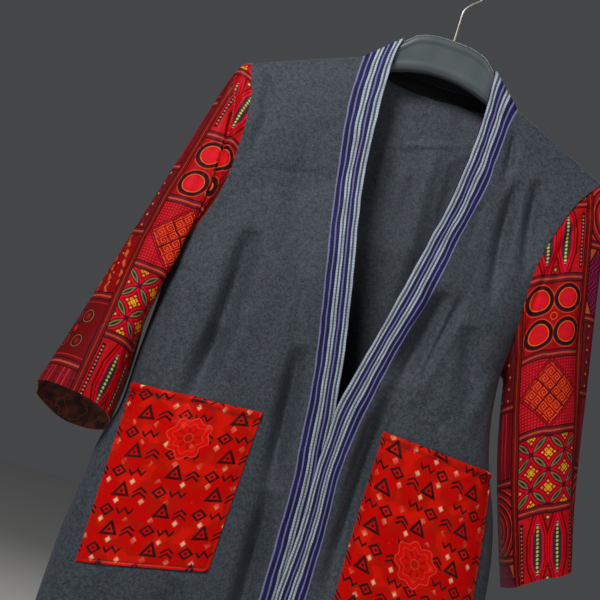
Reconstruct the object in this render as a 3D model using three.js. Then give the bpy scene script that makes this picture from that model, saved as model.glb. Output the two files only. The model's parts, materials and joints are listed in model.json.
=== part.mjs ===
import * as THREE from 'three';

// An open-fronted kimono jacket hanging from a wide plastic hanger.
// Millimetres, +Z up. The origin is the underside of the hook's crown, where a rod would touch it.
// X runs to the viewer's right, the front of the jacket faces -Y, and the cloth hangs straight down.

// Driving dimensions of the jacket
const SHOULDER_X = 220;
const SHOULDER_Z = -197;
const NECK_X = 98;
const NECK_Z = -146;
const BAND_TOP_X = 59;
const BAND_TOP_Z = -109;
const HEM_Z = -1015;
const BACK_HEM_DROP = 9;
const CLOTH = 1.5;
const BAND_CLOTH = 2.4;
const SEAM_GAP = 0.3;
const EDGE_LEAN = 0.05;
const BAND_RISE_LENGTH = 55;
const FRONT_FULLNESS = { left: 40, right: 48 };
const BACK_FULLNESS = 30;
const BACK_NECK_FADE = 300;
const FULLNESS_LENGTH = 330;
const FULLNESS_POWER = { front: 5, back: 6 };
const FOLD_LEAD_IN = { front: 30, back: 40 };
const UNDERARM_LEAN = 0.9;
const ARMHOLE_LEAN = 0.15;

// Driving dimensions of the hanger and its hook
const HANGER_NECK = { halfWidth: 46, top: -92, cornerDrop: 9 };
const HANGER_ARM = {
  end: 204, stations: 15, sides: 12, spread: 0.98, bandClearance: 5.2, clothClearance: 2.6,
};
const HANGER_TIP = { start: 190, length: 15, height: 0.6 };
const BAND_STEP = { start: 92, end: 112 };
const HANGER_HALF_THICKNESS = { middle: 7, end: 11 };
const HANGER_CLEARANCE = 0.6;
const HOOK = {
  wireRadius: 1.8, crookRadius: 22, joinAngle: -50, endAngle: 205, bendLead: 7,
  crookSteps: 16, steps: 44, sides: 8,
};

// Lower edge of the hanger: its height y at a distance -z from the middle
const HANGER_LOWER = [
  { z: 0, y: -139 }, { z: -20, y: -140 }, { z: -41, y: -145 }, { z: -64, y: -153 },
  { z: -98, y: -176 }, { z: -150, y: -201 }, { z: -206, y: -221 },
];

// Rows and columns of the cloth grids
const ROLL_ANGLES = [0, 24, 48, 70, 90];
const ARMHOLE_ROWS = 9;
const SKIRT_ROWS = 14;
const FRONT_COLUMNS = 14;
const BAND_COLUMNS = 2;
const SLEEVE_ROWS = 14;

// Seam between front and band, and the band's folded edge, as distances from the middle line
const FRONT_SEAM = {
  left: [
    { z: -146, x: -98 }, { z: -165, x: -99 }, { z: -213, x: -99 }, { z: -270, x: -91 },
    { z: -327, x: -82 }, { z: -385, x: -72 }, { z: -439, x: -61 }, { z: -494, x: -50 },
    { z: -544, x: -42 }, { z: -594, x: -37 }, { z: -644, x: -31 }, { z: -703, x: -29 },
    { z: -774, x: -27 }, { z: -1030, x: -25 },
  ],
  right: [
    { z: -146, x: 98 }, { z: -170, x: 91 }, { z: -215, x: 87 }, { z: -245, x: 85 },
    { z: -280, x: 79 }, { z: -320, x: 69 }, { z: -375, x: 59 }, { z: -405, x: 53 },
    { z: -459, x: 38 }, { z: -525, x: 26 }, { z: -573, x: 19 }, { z: -620, x: 16 },
    { z: -670, x: 19 }, { z: -720, x: 21 }, { z: -1030, x: 22 },
  ],
};
const BAND_EDGE = {
  left: [
    { z: -109, x: -59 }, { z: -128, x: -63 }, { z: -160, x: -64 }, { z: -201, x: -63 },
    { z: -260, x: -59 }, { z: -318, x: -52 }, { z: -375, x: -41 }, { z: -429, x: -30 },
    { z: -497, x: -17 }, { z: -555, x: -9 }, { z: -600, x: -3 }, { z: -650, x: 4 },
    { z: -703, x: 6 }, { z: -774, x: 8 }, { z: -1030, x: 10 },
  ],
  right: [
    { z: -109, x: 59 }, { z: -129, x: 57 }, { z: -166, x: 57 }, { z: -193, x: 56 },
    { z: -225, x: 54 }, { z: -284, x: 46 }, { z: -350, x: 31 }, { z: -413, x: 18 },
    { z: -453, x: 10 }, { z: -497, x: 0 }, { z: -540, x: -9 }, { z: -588, x: -11 },
    { z: -637, x: -11 }, { z: -686, x: -9 }, { z: -768, x: -12 }, { z: -1030, x: -13 },
  ],
};

// Armhole seam from the shoulder to the underarm, then the side seam down to the hem
const UNDERARM_Z = -452;
const SIDE = {
  left: [
    { z: -197, x: -220 }, { z: -215, x: -215 }, { z: -235, x: -209 }, { z: -266, x: -205 },
    { z: -323, x: -204 }, { z: -357, x: -208 }, { z: -387, x: -216 }, { z: -420, x: -228 },
    { z: -452, x: -236 }, { z: -500, x: -235 }, { z: -560, x: -236 }, { z: -620, x: -237 },
    { z: -663, x: -250 }, { z: -711, x: -254 }, { z: -778, x: -260 }, { z: -1030, x: -262 },
  ],
  right: [
    { z: -197, x: 220 }, { z: -212, x: 209 }, { z: -228, x: 197 }, { z: -257, x: 184 },
    { z: -300, x: 171 }, { z: -340, x: 166 }, { z: -396, x: 168 }, { z: -452, x: 170 },
    { z: -476, x: 171 }, { z: -513, x: 176 }, { z: -561, x: 189 }, { z: -612, x: 210 },
    { z: -650, x: 221 }, { z: -690, x: 228 }, { z: -760, x: 234 }, { z: -1030, x: 244 },
  ],
};

// Depth of the armhole seam in front of and behind the middle plane, below the shoulder's roll
const ARMHOLE_DEPTH = [
  { z: -210, y: 13 }, { z: -235, y: 21 }, { z: -280, y: 28 }, { z: -340, y: 31 },
  { z: -395, y: 27 }, { z: -425, y: 18 }, { z: -443, y: 9 }, { z: -452, y: 0 },
];

// Neck seam behind the neck, with the band's upper edge above it, from the ridge to the middle
const BACK_NECKLINE = [
  { x: 98, y: 0, z: -146, edgeX: 59, edgeY: 0, edgeZ: -109 },
  { x: 91, y: 6, z: -141.5, edgeX: 57, edgeY: 7, edgeZ: -108.2 },
  { x: 81, y: 15, z: -139, edgeX: 53, edgeY: 14, edgeZ: -107 },
  { x: 65, y: 24, z: -139.5, edgeX: 44, edgeY: 20, edgeZ: -105.8 },
  { x: 42, y: 28, z: -141, edgeX: 28, edgeY: 23, edgeZ: -104.5 },
  { x: 21, y: 28.5, z: -142, edgeX: 14, edgeY: 24, edgeZ: -104 },
  { x: 0, y: 29, z: -142, edgeX: 0, edgeY: 24, edgeZ: -104 },
];

// Cuff edge of each sleeve: the middle of the loop, its half sizes and how far each side rises or drops
const CUFF = {
  left: {
    x: -290.5, z: -632, halfWidth: 45.5, halfDepth: 54, outerRise: 8, frontRise: 13, backDrop: 26, bow: 0,
  },
  right: {
    x: 282, z: -667, halfWidth: 31, halfDepth: 54, outerRise: 20, frontRise: 10, backDrop: 10, bow: 9,
  },
};
const CUFF_FLATNESS = 0.8;
const SLEEVE_HEAD = { out: 11, underarmOut: 6, up: 3, length: 0.02 };
const SLEEVE_ROW_POWER = 1.25;

// Main folds of the cloth: each is a soft trough along a line, deepest at its middle
const FRONT_FOLDS = {
  left: [
    { x0: -199, z0: -205, x1: -184, z1: -262, width: 7, depth: 6 },
    { x0: -184, z0: -250, x1: -193, z1: -318, width: 8, depth: 7 },
    { x0: -166, z0: -385, x1: -169, z1: -560, width: 11, depth: 8 },
    { x0: -74, z0: -500, x1: -59, z1: -660, width: 12, depth: 12 },
    { x0: -60, z0: -640, x1: -42, z1: -860, width: 13, depth: 14 },
    { x0: -118, z0: -800, x1: -128, z1: -1040, width: 17, depth: 10 },
    { x0: -196, z0: -790, x1: -205, z1: -1040, width: 15, depth: 9 },
    { x0: -128, z0: -240, x1: -112, z1: -420, width: 18, depth: 4 },
  ],
  right: [
    { x0: 101, z0: -176, x1: 104, z1: -252, width: 6, depth: 6 },
    { x0: 142, z0: -215, x1: 158, z1: -335, width: 9, depth: 8 },
    { x0: 118, z0: -225, x1: 124, z1: -390, width: 10, depth: 7 },
    { x0: 78, z0: -385, x1: 48, z1: -520, width: 12, depth: 12 },
    { x0: 50, z0: -505, x1: 42, z1: -760, width: 13, depth: 14 },
    { x0: 108, z0: -415, x1: 136, z1: -505, width: 16, depth: 6 },
    { x0: 70, z0: -775, x1: 62, z1: -1040, width: 15, depth: 11 },
    { x0: 160, z0: -780, x1: 170, z1: -1040, width: 16, depth: 9 },
  ],
};
const BACK_FOLDS = [
  { x0: 24, z0: -205, x1: 30, z1: -470, width: 13, depth: 7 },
  { x0: -42, z0: -330, x1: -50, z1: -640, width: 15, depth: 8 },
  { x0: -128, z0: -260, x1: -112, z1: -560, width: 15, depth: 8 },
  { x0: 112, z0: -250, x1: 104, z1: -600, width: 14, depth: 9 },
  { x0: -95, z0: -620, x1: -110, z1: -1050, width: 18, depth: 13 },
  { x0: -10, z0: -600, x1: -4, z1: -1050, width: 16, depth: 11 },
  { x0: 92, z0: -640, x1: 104, z1: -1050, width: 18, depth: 13 },
  { x0: -188, z0: -560, x1: -196, z1: -1050, width: 15, depth: 10 },
  { x0: 178, z0: -660, x1: 186, z1: -1050, width: 15, depth: 10 },
];

// Patch pockets, given by their corners on the fronts
const POCKETS = {
  left: { topZ: -581, topInner: -87, topOuter: -232, bottomZ: -782, bottomInner: -91, bottomOuter: -230 },
  right: { topZ: -558, topInner: 53, topOuter: 186, bottomZ: -762, bottomInner: 51, bottomOuter: 212 },
};
const POCKET_OUTER_DROP = { left: 15, right: 8 };
const POCKET_FADE = { rows: 5, columns: 3 };

const COLOURS = {
  cloth: { color: 0x3a4349, roughness: 0.82, metalness: 0 },
  sleeve: { color: 0xa3161c, roughness: 0.7, metalness: 0 },
  band: { color: 0x2c2c6a, roughness: 0.85, metalness: 0 },
  pocket: { color: 0xc41c12, roughness: 0.45, metalness: 0 },
  hanger: { color: 0x4a5054, roughness: 0.4, metalness: 0 },
  wire: { color: 0xb9bcbd, roughness: 0.3, metalness: 1 },
};

const { clamp, lerp, smoothstep, degToRad } = THREE.MathUtils;
const signOf = { left: -1, right: 1 };
const vector = (x, y, z) => new THREE.Vector3(x, y, z);

// Smooth curve through the rows of a table, read at height z
function readTable(rows, column, z) {
  const last = rows.length - 1;
  if (z >= rows[0].z) return rows[0][column];
  if (z <= rows[last].z) return rows[last][column];
  let k = 0;
  while (z < rows[k + 1].z) k += 1;
  const slope = (a, b) => (rows[b][column] - rows[a][column]) / (rows[b].z - rows[a].z);
  const span = rows[k + 1].z - rows[k].z;
  const t = (z - rows[k].z) / span;
  const startSlope = slope(Math.max(k - 1, 0), k + 1) * span;
  const endSlope = slope(k, Math.min(k + 2, last)) * span;
  const t2 = t * t;
  const t3 = t2 * t;
  return (2 * t3 - 3 * t2 + 1) * rows[k][column] + (t3 - 2 * t2 + t) * startSlope
    + (3 * t2 - 2 * t3) * rows[k + 1][column] + (t3 - t2) * endSlope;
}

// Top line of the cloth over the hanger, higher where the band climbs the hanger's neck
function ridgeHeight(x) {
  const distance = Math.abs(x);
  const inner = (BAND_TOP_Z - NECK_Z) / (NECK_X - BAND_TOP_X);
  const outer = (NECK_Z - SHOULDER_Z) / (SHOULDER_X - NECK_X);
  return NECK_Z - (distance - NECK_X) * (distance < NECK_X ? inner : outer);
}

function hangerHalfThickness(x) {
  const share = clamp(Math.abs(x) / HANGER_ARM.end, 0, 1);
  return lerp(HANGER_HALF_THICKNESS.middle, HANGER_HALF_THICKNESS.end, share);
}

// Radius of the roll of cloth over the hanger's arm
const rollRadius = (x) => hangerHalfThickness(x) + CLOTH + HANGER_CLEARANCE;

// How far the cloth stands from the middle plane at a drop below the ridge, on the roll
function rollDepth(radius, drop) {
  const rest = 1 - Math.min(drop / radius, 1);
  return radius * Math.sqrt(1 - rest * rest);
}

// Sum of the troughs at a point of a panel
function foldDepth(folds, x, z) {
  let depth = 0;
  for (const fold of folds) {
    const along = (z - fold.z0) / (fold.z1 - fold.z0);
    if (along <= 0 || along >= 1) continue;
    const offset = (x - lerp(fold.x0, fold.x1, along)) / fold.width;
    const fade = Math.sin(Math.PI * Math.pow(along, 0.8));
    depth += fold.depth * fade * Math.exp(-offset * offset);
  }
  return depth;
}

// Depth of the armhole seam at a height: it follows the shoulder's roll at the top
function armholeDepth(z) {
  const radius = rollRadius(SHOULDER_X);
  const drop = Math.max(SHOULDER_Z - z, 0);
  return drop < radius ? rollDepth(radius, drop) : readTable(ARMHOLE_DEPTH, 'y', z);
}

// Depth towards which a panel closes at its outer edge, at a drop below the panel's top
function outerEdgeDepth(top, drop) {
  const share = drop / (top - UNDERARM_Z);
  return share < 1 ? armholeDepth(lerp(SHOULDER_Z, UNDERARM_Z, share)) : 0;
}

// Share of a panel's fullness that is left at a share of the way to its outer edge
function fullnessLeft(share, z, power) {
  const roundness = lerp(1, 0.5, smoothstep(-z, -UNDERARM_Z - 60, -UNDERARM_Z + 20));
  return Math.pow(1 - Math.pow(share, power), roundness);
}

// Depth of a front at a point: rolled over the hanger, full in the middle, closing at the side
function frontDepth(side, x, z) {
  const seam = readTable(FRONT_SEAM[side], 'x', z);
  const edge = readTable(SIDE[side], 'x', z);
  const share = clamp((x - seam) / (edge - seam), 0, 1);
  const drop = Math.max(ridgeHeight(x) - z, 0);
  const swell = FRONT_FULLNESS[side] * smoothstep(drop, 0, FULLNESS_LENGTH);
  const middle = rollDepth(rollRadius(x), drop) + swell;
  const atEdge = outerEdgeDepth(ridgeHeight(x), drop);
  const left = fullnessLeft(share, z, FULLNESS_POWER.front);
  const leadIn = Math.min(1, drop / FOLD_LEAD_IN.front);
  const trough = foldDepth(FRONT_FOLDS[side], x, z) * leadIn * left;
  return SEAM_GAP / 2 + atEdge + (Math.max(middle, atEdge) - atEdge) * left - trough;
}

// Row of the back neckline's table at a distance from the middle
function necklineAt(x) {
  const distance = Math.min(Math.abs(x), NECK_X);
  const k = BACK_NECKLINE.findIndex((row, i) => i > 0 && row.x <= distance);
  const [outer, inner] = [BACK_NECKLINE[k - 1], BACK_NECKLINE[k]];
  const t = (distance - outer.x) / (inner.x - outer.x);
  return { y: lerp(outer.y, inner.y, t), z: lerp(outer.z, inner.z, t) };
}

// Depth of the back on the other side of the middle plane, at a drop below its top edge
function backDepth(topX, x, z, drop) {
  const edge = Math.abs(readTable(SIDE[x < 0 ? 'left' : 'right'], 'x', z));
  const share = clamp(Math.abs(x) / edge, 0, 1);
  const swell = BACK_FULLNESS * smoothstep(drop, 0, FULLNESS_LENGTH);
  const radius = rollRadius(topX);
  const start = necklineAt(topX).y;
  const startDrop = start < radius ? radius - Math.sqrt(radius ** 2 - start ** 2) : radius;
  const kept = start * (1 - smoothstep(drop, 0, BACK_NECK_FADE));
  const middle = Math.max(kept, rollDepth(radius, drop + startDrop)) + swell;
  const atEdge = outerEdgeDepth(backTop(topX), drop);
  const left = fullnessLeft(share, z, FULLNESS_POWER.back);
  const leadIn = Math.min(1, drop / FOLD_LEAD_IN.back);
  const trough = foldDepth(BACK_FOLDS, x, z) * leadIn * left;
  return SEAM_GAP / 2 + atEdge + (Math.max(middle, atEdge) - atEdge) * left - trough;
}

// Drops below the ridge of every row of a panel at one column, down to its hem
function rowDrops(x, top, hem) {
  const radius = rollRadius(x);
  const drops = ROLL_ANGLES.map((angle) => radius * (1 - Math.cos(degToRad(angle))));
  const underarm = (SHOULDER_Z - UNDERARM_Z - radius) / (SHOULDER_Z - HEM_Z - radius);
  const length = top - hem;
  for (let k = 1; k <= ARMHOLE_ROWS; k += 1) {
    drops.push(radius + (length - radius) * underarm * (k / ARMHOLE_ROWS));
  }
  for (let k = 1; k <= SKIRT_ROWS; k += 1) {
    drops.push(radius + (length - radius) * lerp(underarm, 1, k / SKIRT_ROWS));
  }
  return drops;
}

const ROWS = ROLL_ANGLES.length + ARMHOLE_ROWS + SKIRT_ROWS;
const UNDERARM_ROW = ROLL_ANGLES.length + ARMHOLE_ROWS - 1;

// Heights of the rows down the side, shared by front, back and sleeve so that their seams match
function sideHeights() {
  return rowDrops(SHOULDER_X, SHOULDER_Z, HEM_Z).map((drop) => SHOULDER_Z - drop);
}

// Closed body from an outer and an inner grid of points; a ring grid closes on itself
function shellGeometry(outer, inner, ring = false) {
  const rows = outer.length;
  const columns = outer[0].length;
  const positions = [];
  for (const grid of [outer, inner]) {
    for (const row of grid) for (const point of row) positions.push(point.x, point.y, point.z);
  }
  const index = [];
  const outerAt = (i, j) => i * columns + (j % columns);
  const innerAt = (i, j) => rows * columns + outerAt(i, j);
  const quad = (a, b, c, d) => index.push(a, b, c, a, c, d);
  const spans = ring ? columns : columns - 1;
  for (let i = 0; i < rows - 1; i += 1) {
    for (let j = 0; j < spans; j += 1) {
      quad(outerAt(i, j), outerAt(i + 1, j), outerAt(i + 1, j + 1), outerAt(i, j + 1));
      quad(innerAt(i, j), innerAt(i, j + 1), innerAt(i + 1, j + 1), innerAt(i + 1, j));
    }
  }
  for (let j = 0; j < spans; j += 1) {
    quad(outerAt(0, j), outerAt(0, j + 1), innerAt(0, j + 1), innerAt(0, j));
    const end = rows - 1;
    quad(outerAt(end, j), innerAt(end, j), innerAt(end, j + 1), outerAt(end, j + 1));
  }
  if (!ring) {
    for (let i = 0; i < rows - 1; i += 1) {
      const end = columns - 1;
      quad(outerAt(i, 0), innerAt(i, 0), innerAt(i + 1, 0), outerAt(i + 1, 0));
      quad(outerAt(i, end), outerAt(i + 1, end), innerAt(i + 1, end), innerAt(i, end));
    }
  }
  return outwardGeometry(positions, index);
}

// Geometry whose faces point out, whichever way round its grid was listed
function outwardGeometry(positions, index) {
  const corner = (k) => vector(positions[3 * k], positions[3 * k + 1], positions[3 * k + 2]);
  let volume = 0;
  for (let k = 0; k < index.length; k += 3) {
    volume += corner(index[k]).dot(corner(index[k + 1]).cross(corner(index[k + 2])));
  }
  if (volume < 0) index.reverse();
  const geometry = new THREE.BufferGeometry();
  geometry.setAttribute('position', new THREE.Float32BufferAttribute(positions, 3));
  geometry.setIndex(index);
  geometry.computeVertexNormals();
  return geometry;
}

// Unit normals of a grid, turned to the side that the guide direction names
function gridNormals(grid, guide, ring = false) {
  const rows = grid.length;
  const columns = grid[0].length;
  const wrap = (j) => (ring ? (j + columns) % columns : clamp(j, 0, columns - 1));
  return grid.map((row, i) => row.map((point, j) => {
    const down = grid[Math.min(i + 1, rows - 1)][j].clone().sub(grid[Math.max(i - 1, 0)][j]);
    const across = row[wrap(j + 1)].clone().sub(row[wrap(j - 1)]);
    const normal = down.cross(across).normalize();
    return normal.dot(guide(point)) < 0 ? normal.negate() : normal;
  }));
}

// Inner grid of a cloth wall; the edge rule bends the offset at a border to stay off its neighbour
function innerGrid(outer, normals, thickness, edgeRule) {
  return outer.map((row, i) => row.map((point, j) => {
    const inward = normals[i][j].clone().negate();
    edgeRule(inward, i, j);
    return point.clone().addScaledVector(inward.normalize(), thickness);
  }));
}

// Armhole loop from the shoulder down the front and up the back, with its inward directions
function armholeLoop(side) {
  const heights = sideHeights().slice(0, UNDERARM_ROW + 1);
  const at = (z, facing) => {
    const x = readTable(SIDE[side], 'x', z);
    return vector(x, facing * armholeDepth(z), z);
  };
  const front = heights.map((z) => at(z, -1));
  const back = heights.slice(1, -1).reverse().map((z) => at(z, 1));
  const points = [...front, ...back];
  const inward = points.map((point, k) => {
    const before = points[(k + points.length - 1) % points.length];
    const after = points[(k + 1) % points.length];
    return vector(0, before.z - after.z, after.y - before.y).normalize();
  });
  return { points, inward };
}

// One front, from its seam with the band to the armhole and side seam
function frontGrid(side) {
  const sign = signOf[side];
  const grid = [];
  for (let i = 0; i < ROWS; i += 1) grid.push([]);
  for (let j = 0; j <= FRONT_COLUMNS; j += 1) {
    const share = j / FRONT_COLUMNS;
    const topX = sign * lerp(NECK_X, SHOULDER_X, share);
    const top = ridgeHeight(topX);
    rowDrops(topX, top, HEM_Z).forEach((drop, i) => {
      const z = top - drop;
      const seam = readTable(FRONT_SEAM[side], 'x', z);
      const edge = readTable(SIDE[side], 'x', z);
      const x = j === 0 ? seam + sign * SEAM_GAP / 2 : lerp(seam, edge, share);
      grid[i].push(vector(x, -frontDepth(side, x, z), z));
    });
  }
  const armhole = armholeLoop(side);
  for (let i = 0; i <= UNDERARM_ROW; i += 1) {
    const y = Math.min(armhole.points[i].y, -SEAM_GAP / 2);
    grid[i][FRONT_COLUMNS].set(armhole.points[i].x - sign * SEAM_GAP, y, armhole.points[i].z);
  }
  const block = pocketBlock(side, grid);
  fitPocketBlock(side, grid, block);
  return { grid, block };
}

// Rows and columns of the front that lie under its pocket
function pocketBlock(side, grid) {
  const pocket = POCKETS[side];
  const nearest = (list, value) => {
    const distances = list.map((entry) => Math.abs(entry - value));
    return distances.indexOf(Math.min(...distances));
  };
  const middle = grid.map((row) => row[Math.round(FRONT_COLUMNS / 2)].z);
  const top = nearest(middle, pocket.topZ - POCKET_OUTER_DROP[side] / 2);
  const bottom = nearest(middle, pocket.bottomZ - POCKET_OUTER_DROP[side] / 2);
  const centreRow = grid[Math.round((top + bottom) / 2)].map((point) => point.x);
  const inner = nearest(centreRow, (pocket.topInner + pocket.bottomInner) / 2);
  const outer = Math.min(nearest(centreRow, (pocket.topOuter + pocket.bottomOuter) / 2), FRONT_COLUMNS - 1);
  return { top, bottom, inner, outer };
}

// Where a point of the front under its pocket goes, so that the block has the pocket's outline
function pocketPoint(side, block, i, j) {
  const pocket = POCKETS[side];
  const down = (i - block.top) / (block.bottom - block.top);
  const across = (j - block.inner) / (block.outer - block.inner);
  const innerX = lerp(pocket.topInner, pocket.bottomInner, down);
  const outerX = lerp(pocket.topOuter, pocket.bottomOuter, down);
  const z = lerp(pocket.topZ, pocket.bottomZ, down) - POCKET_OUTER_DROP[side] * across;
  return { x: lerp(innerX, outerX, across), z };
}

// Moves the points under the pocket to its outline, and their neighbours by less and less
function fitPocketBlock(side, grid, block) {
  const start = grid.map((row) => row.map((point) => point.clone()));
  for (let i = 1; i < ROWS - 1; i += 1) {
    for (let j = 1; j < FRONT_COLUMNS; j += 1) {
      const nearI = clamp(i, block.top, block.bottom);
      const nearJ = clamp(j, block.inner, block.outer);
      const target = pocketPoint(side, block, nearI, nearJ);
      const rowFade = Math.max(0, 1 - Math.abs(i - nearI) / POCKET_FADE.rows);
      const columnFade = Math.max(0, 1 - Math.abs(j - nearJ) / POCKET_FADE.columns);
      const from = start[nearI][nearJ];
      const x = start[i][j].x + (target.x - from.x) * rowFade * columnFade;
      const z = start[i][j].z + (target.z - from.z) * rowFade * columnFade;
      grid[i][j].set(x, -frontDepth(side, x, z), z);
    }
  }
}

// A patch pocket: the front's own points under it, moved out by the gap and the cloth
function makePocket(side) {
  const { grid, block } = frontGrid(side);
  const normals = gridNormals(grid, () => vector(0, -1, 0.3));
  const raised = (height) => grid.slice(block.top, block.bottom + 1).map((row, i) => (
    row.slice(block.inner, block.outer + 1).map((point, j) => (
      point.clone().addScaledVector(normals[block.top + i][block.inner + j], height)
    ))
  ));
  return shellGeometry(raised(SEAM_GAP + CLOTH), raised(SEAM_GAP));
}

function makeFront(side) {
  const sign = signOf[side];
  const outer = frontGrid(side).grid;
  const normals = gridNormals(outer, () => vector(0, -1, 0.3));
  const armhole = armholeLoop(side);
  const inner = innerGrid(outer, normals, CLOTH, (inward, i, j) => {
    if (j === 0) inward.x = 0;
    if (j === FRONT_COLUMNS) bendAtSide(inward, i, sign, armhole);
    if (i === 0) inward.set(j === 0 ? 0 : inward.x, 0, -1);
    if (i === 0 || (j === FRONT_COLUMNS && i >= UNDERARM_ROW)) inward.y = -EDGE_LEAN;
  });
  return shellGeometry(outer, inner);
}

// Offset direction at a panel's outer edge: into the armhole loop, or straight in at the side seam
function bendAtSide(inward, i, sign, armhole, k = i) {
  if (i > UNDERARM_ROW) {
    inward.set(-sign, 0, 0);
    return;
  }
  inward.copy(armhole.inward[k]);
  inward.x = -sign * (i === UNDERARM_ROW ? UNDERARM_LEAN : ARMHOLE_LEAN);
}

// Top edge of the back: the ridge on the shoulders, a shallow curve behind the neck
function backTop(x) {
  return Math.abs(x) >= NECK_X ? ridgeHeight(x) : necklineAt(x).z;
}

// Positions of the back's columns along its top edge, from left to right
function backColumns() {
  const shoulder = [];
  for (let j = FRONT_COLUMNS; j >= 0; j -= 1) {
    shoulder.push(lerp(NECK_X, SHOULDER_X, j / FRONT_COLUMNS));
  }
  const neck = BACK_NECKLINE.slice(1, -1).map((row) => row.x);
  const leftHalf = [...shoulder, ...neck].map((x) => -x);
  return [...leftHalf, 0, ...leftHalf.map((x) => -x).reverse()];
}

function makeBack() {
  const columns = backColumns();
  const last = columns.length - 1;
  const outer = [];
  for (let i = 0; i < ROWS; i += 1) outer.push([]);
  columns.forEach((topX) => {
    const top = backTop(topX);
    const hem = HEM_Z - BACK_HEM_DROP * (1 - (topX / SHOULDER_X) ** 2);
    const edge = SIDE[topX < 0 ? 'left' : 'right'];
    rowDrops(topX, top, hem).forEach((drop, i) => {
      const z = top - drop;
      const x = topX * Math.abs(readTable(edge, 'x', z)) / SHOULDER_X;
      outer[i].push(vector(i === 0 ? topX : x, backDepth(topX, x, z, drop), z));
    });
  });
  const armholes = { 0: armholeLoop('left'), [last]: armholeLoop('right') };
  const loopIndex = (i) => (i === 0 || i === UNDERARM_ROW ? i : 2 * UNDERARM_ROW - i);
  for (const j of [0, last]) {
    for (let i = 0; i <= UNDERARM_ROW; i += 1) {
      const point = armholes[j].points[loopIndex(i)];
      const x = point.x + (j === 0 ? SEAM_GAP : -SEAM_GAP);
      outer[i][j].set(x, Math.max(point.y, SEAM_GAP / 2), point.z);
    }
  }
  const normals = gridNormals(outer, () => vector(0, 1, 0.3));
  const inner = innerGrid(outer, normals, CLOTH, (inward, i, j) => {
    const atSide = j === 0 || j === last;
    const onShoulder = Math.abs(columns[j]) >= NECK_X;
    if (atSide) bendAtSide(inward, i, j === 0 ? -1 : 1, armholes[j], loopIndex(i));
    if (i === 0 && onShoulder) inward.set(Math.abs(columns[j]) > NECK_X ? inward.x : 0, 0, -1);
    if (i === 0 && !onShoulder) inward.z = Math.min(inward.z, -EDGE_LEAN);
    if ((i === 0 && onShoulder) || (atSide && i >= UNDERARM_ROW)) inward.y = EDGE_LEAN;
  });
  return shellGeometry(outer, inner);
}

// The band down one front: the seam edge keeps the front's rows, the folded edge stands higher
function makeFrontBand(side) {
  const sign = signOf[side];
  const outer = [];
  rowDrops(NECK_X, NECK_Z, HEM_Z).forEach((drop) => {
    const seamZ = NECK_Z - drop;
    const seamX = readTable(FRONT_SEAM[side], 'x', seamZ);
    const rise = (BAND_TOP_Z - NECK_Z) * Math.exp(-drop / BAND_RISE_LENGTH);
    const edgeZ = seamZ + rise;
    const edgeX = readTable(BAND_EDGE[side], 'x', edgeZ);
    const row = [];
    for (let j = 0; j <= BAND_COLUMNS; j += 1) {
      const share = j / BAND_COLUMNS;
      const x = lerp(seamX, edgeX, share) - (j === 0 ? sign * SEAM_GAP / 2 : 0);
      const z = lerp(seamZ, edgeZ, share);
      row.push(vector(x, -frontDepth(side, j === 0 ? x + sign * SEAM_GAP : x, z), z));
    }
    outer.push(row);
  });
  const normals = gridNormals(outer, () => vector(0, -1, 0.3));
  return thickenedBand(outer, normals, (inward, i, j) => {
    if (j === 0) inward.x = 0;
    if (j === 0 && i === 0) inward.set(0, 0, -1);
    if (i === 0) inward.y = -EDGE_LEAN;
  });
}

// A band is thicker than the cloth, half of the difference on each face
function thickenedBand(middle, normals, edgeRule) {
  const inner = innerGrid(middle, normals, (BAND_CLOTH + CLOTH) / 2, edgeRule);
  const lift = (BAND_CLOTH - CLOTH) / 2 / ((BAND_CLOTH + CLOTH) / 2);
  const outer = middle.map((row, i) => row.map((point, j) => (
    point.clone().addScaledVector(point.clone().sub(inner[i][j]), lift)
  )));
  return shellGeometry(outer, inner);
}

// The band round the back of the neck, standing up from the back's top edge
function makeBackBand() {
  const rows = [];
  for (let i = 0; i <= BAND_COLUMNS; i += 1) rows.push([]);
  const half = BACK_NECKLINE.slice(0, -1);
  const mirrored = half.map((row) => ({ ...row, x: -row.x, edgeX: -row.edgeX }));
  const columns = [...mirrored, BACK_NECKLINE[half.length], ...half.reverse()];
  columns.forEach((row) => {
    const seam = vector(row.x, row.y + SEAM_GAP / 2, row.z + SEAM_GAP);
    const edge = vector(row.edgeX, row.edgeY + SEAM_GAP / 2, row.edgeZ);
    rows.forEach((line, i) => line.push(seam.clone().lerp(edge, i / BAND_COLUMNS)));
  });
  const normals = gridNormals(rows, (point) => vector(point.x * 0.2, 10, 2));
  return thickenedBand(rows, normals, (inward, i, j) => {
    if (i === 0) inward.z = EDGE_LEAN;
    if (j === 0 || j === columns.length - 1) inward.y = EDGE_LEAN;
  });
}

// Sine or cosine drawn out towards the corners, so that a loop is flatter than an ellipse
const flattened = (value) => Math.sign(value) * Math.abs(value) ** CUFF_FLATNESS;

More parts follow.
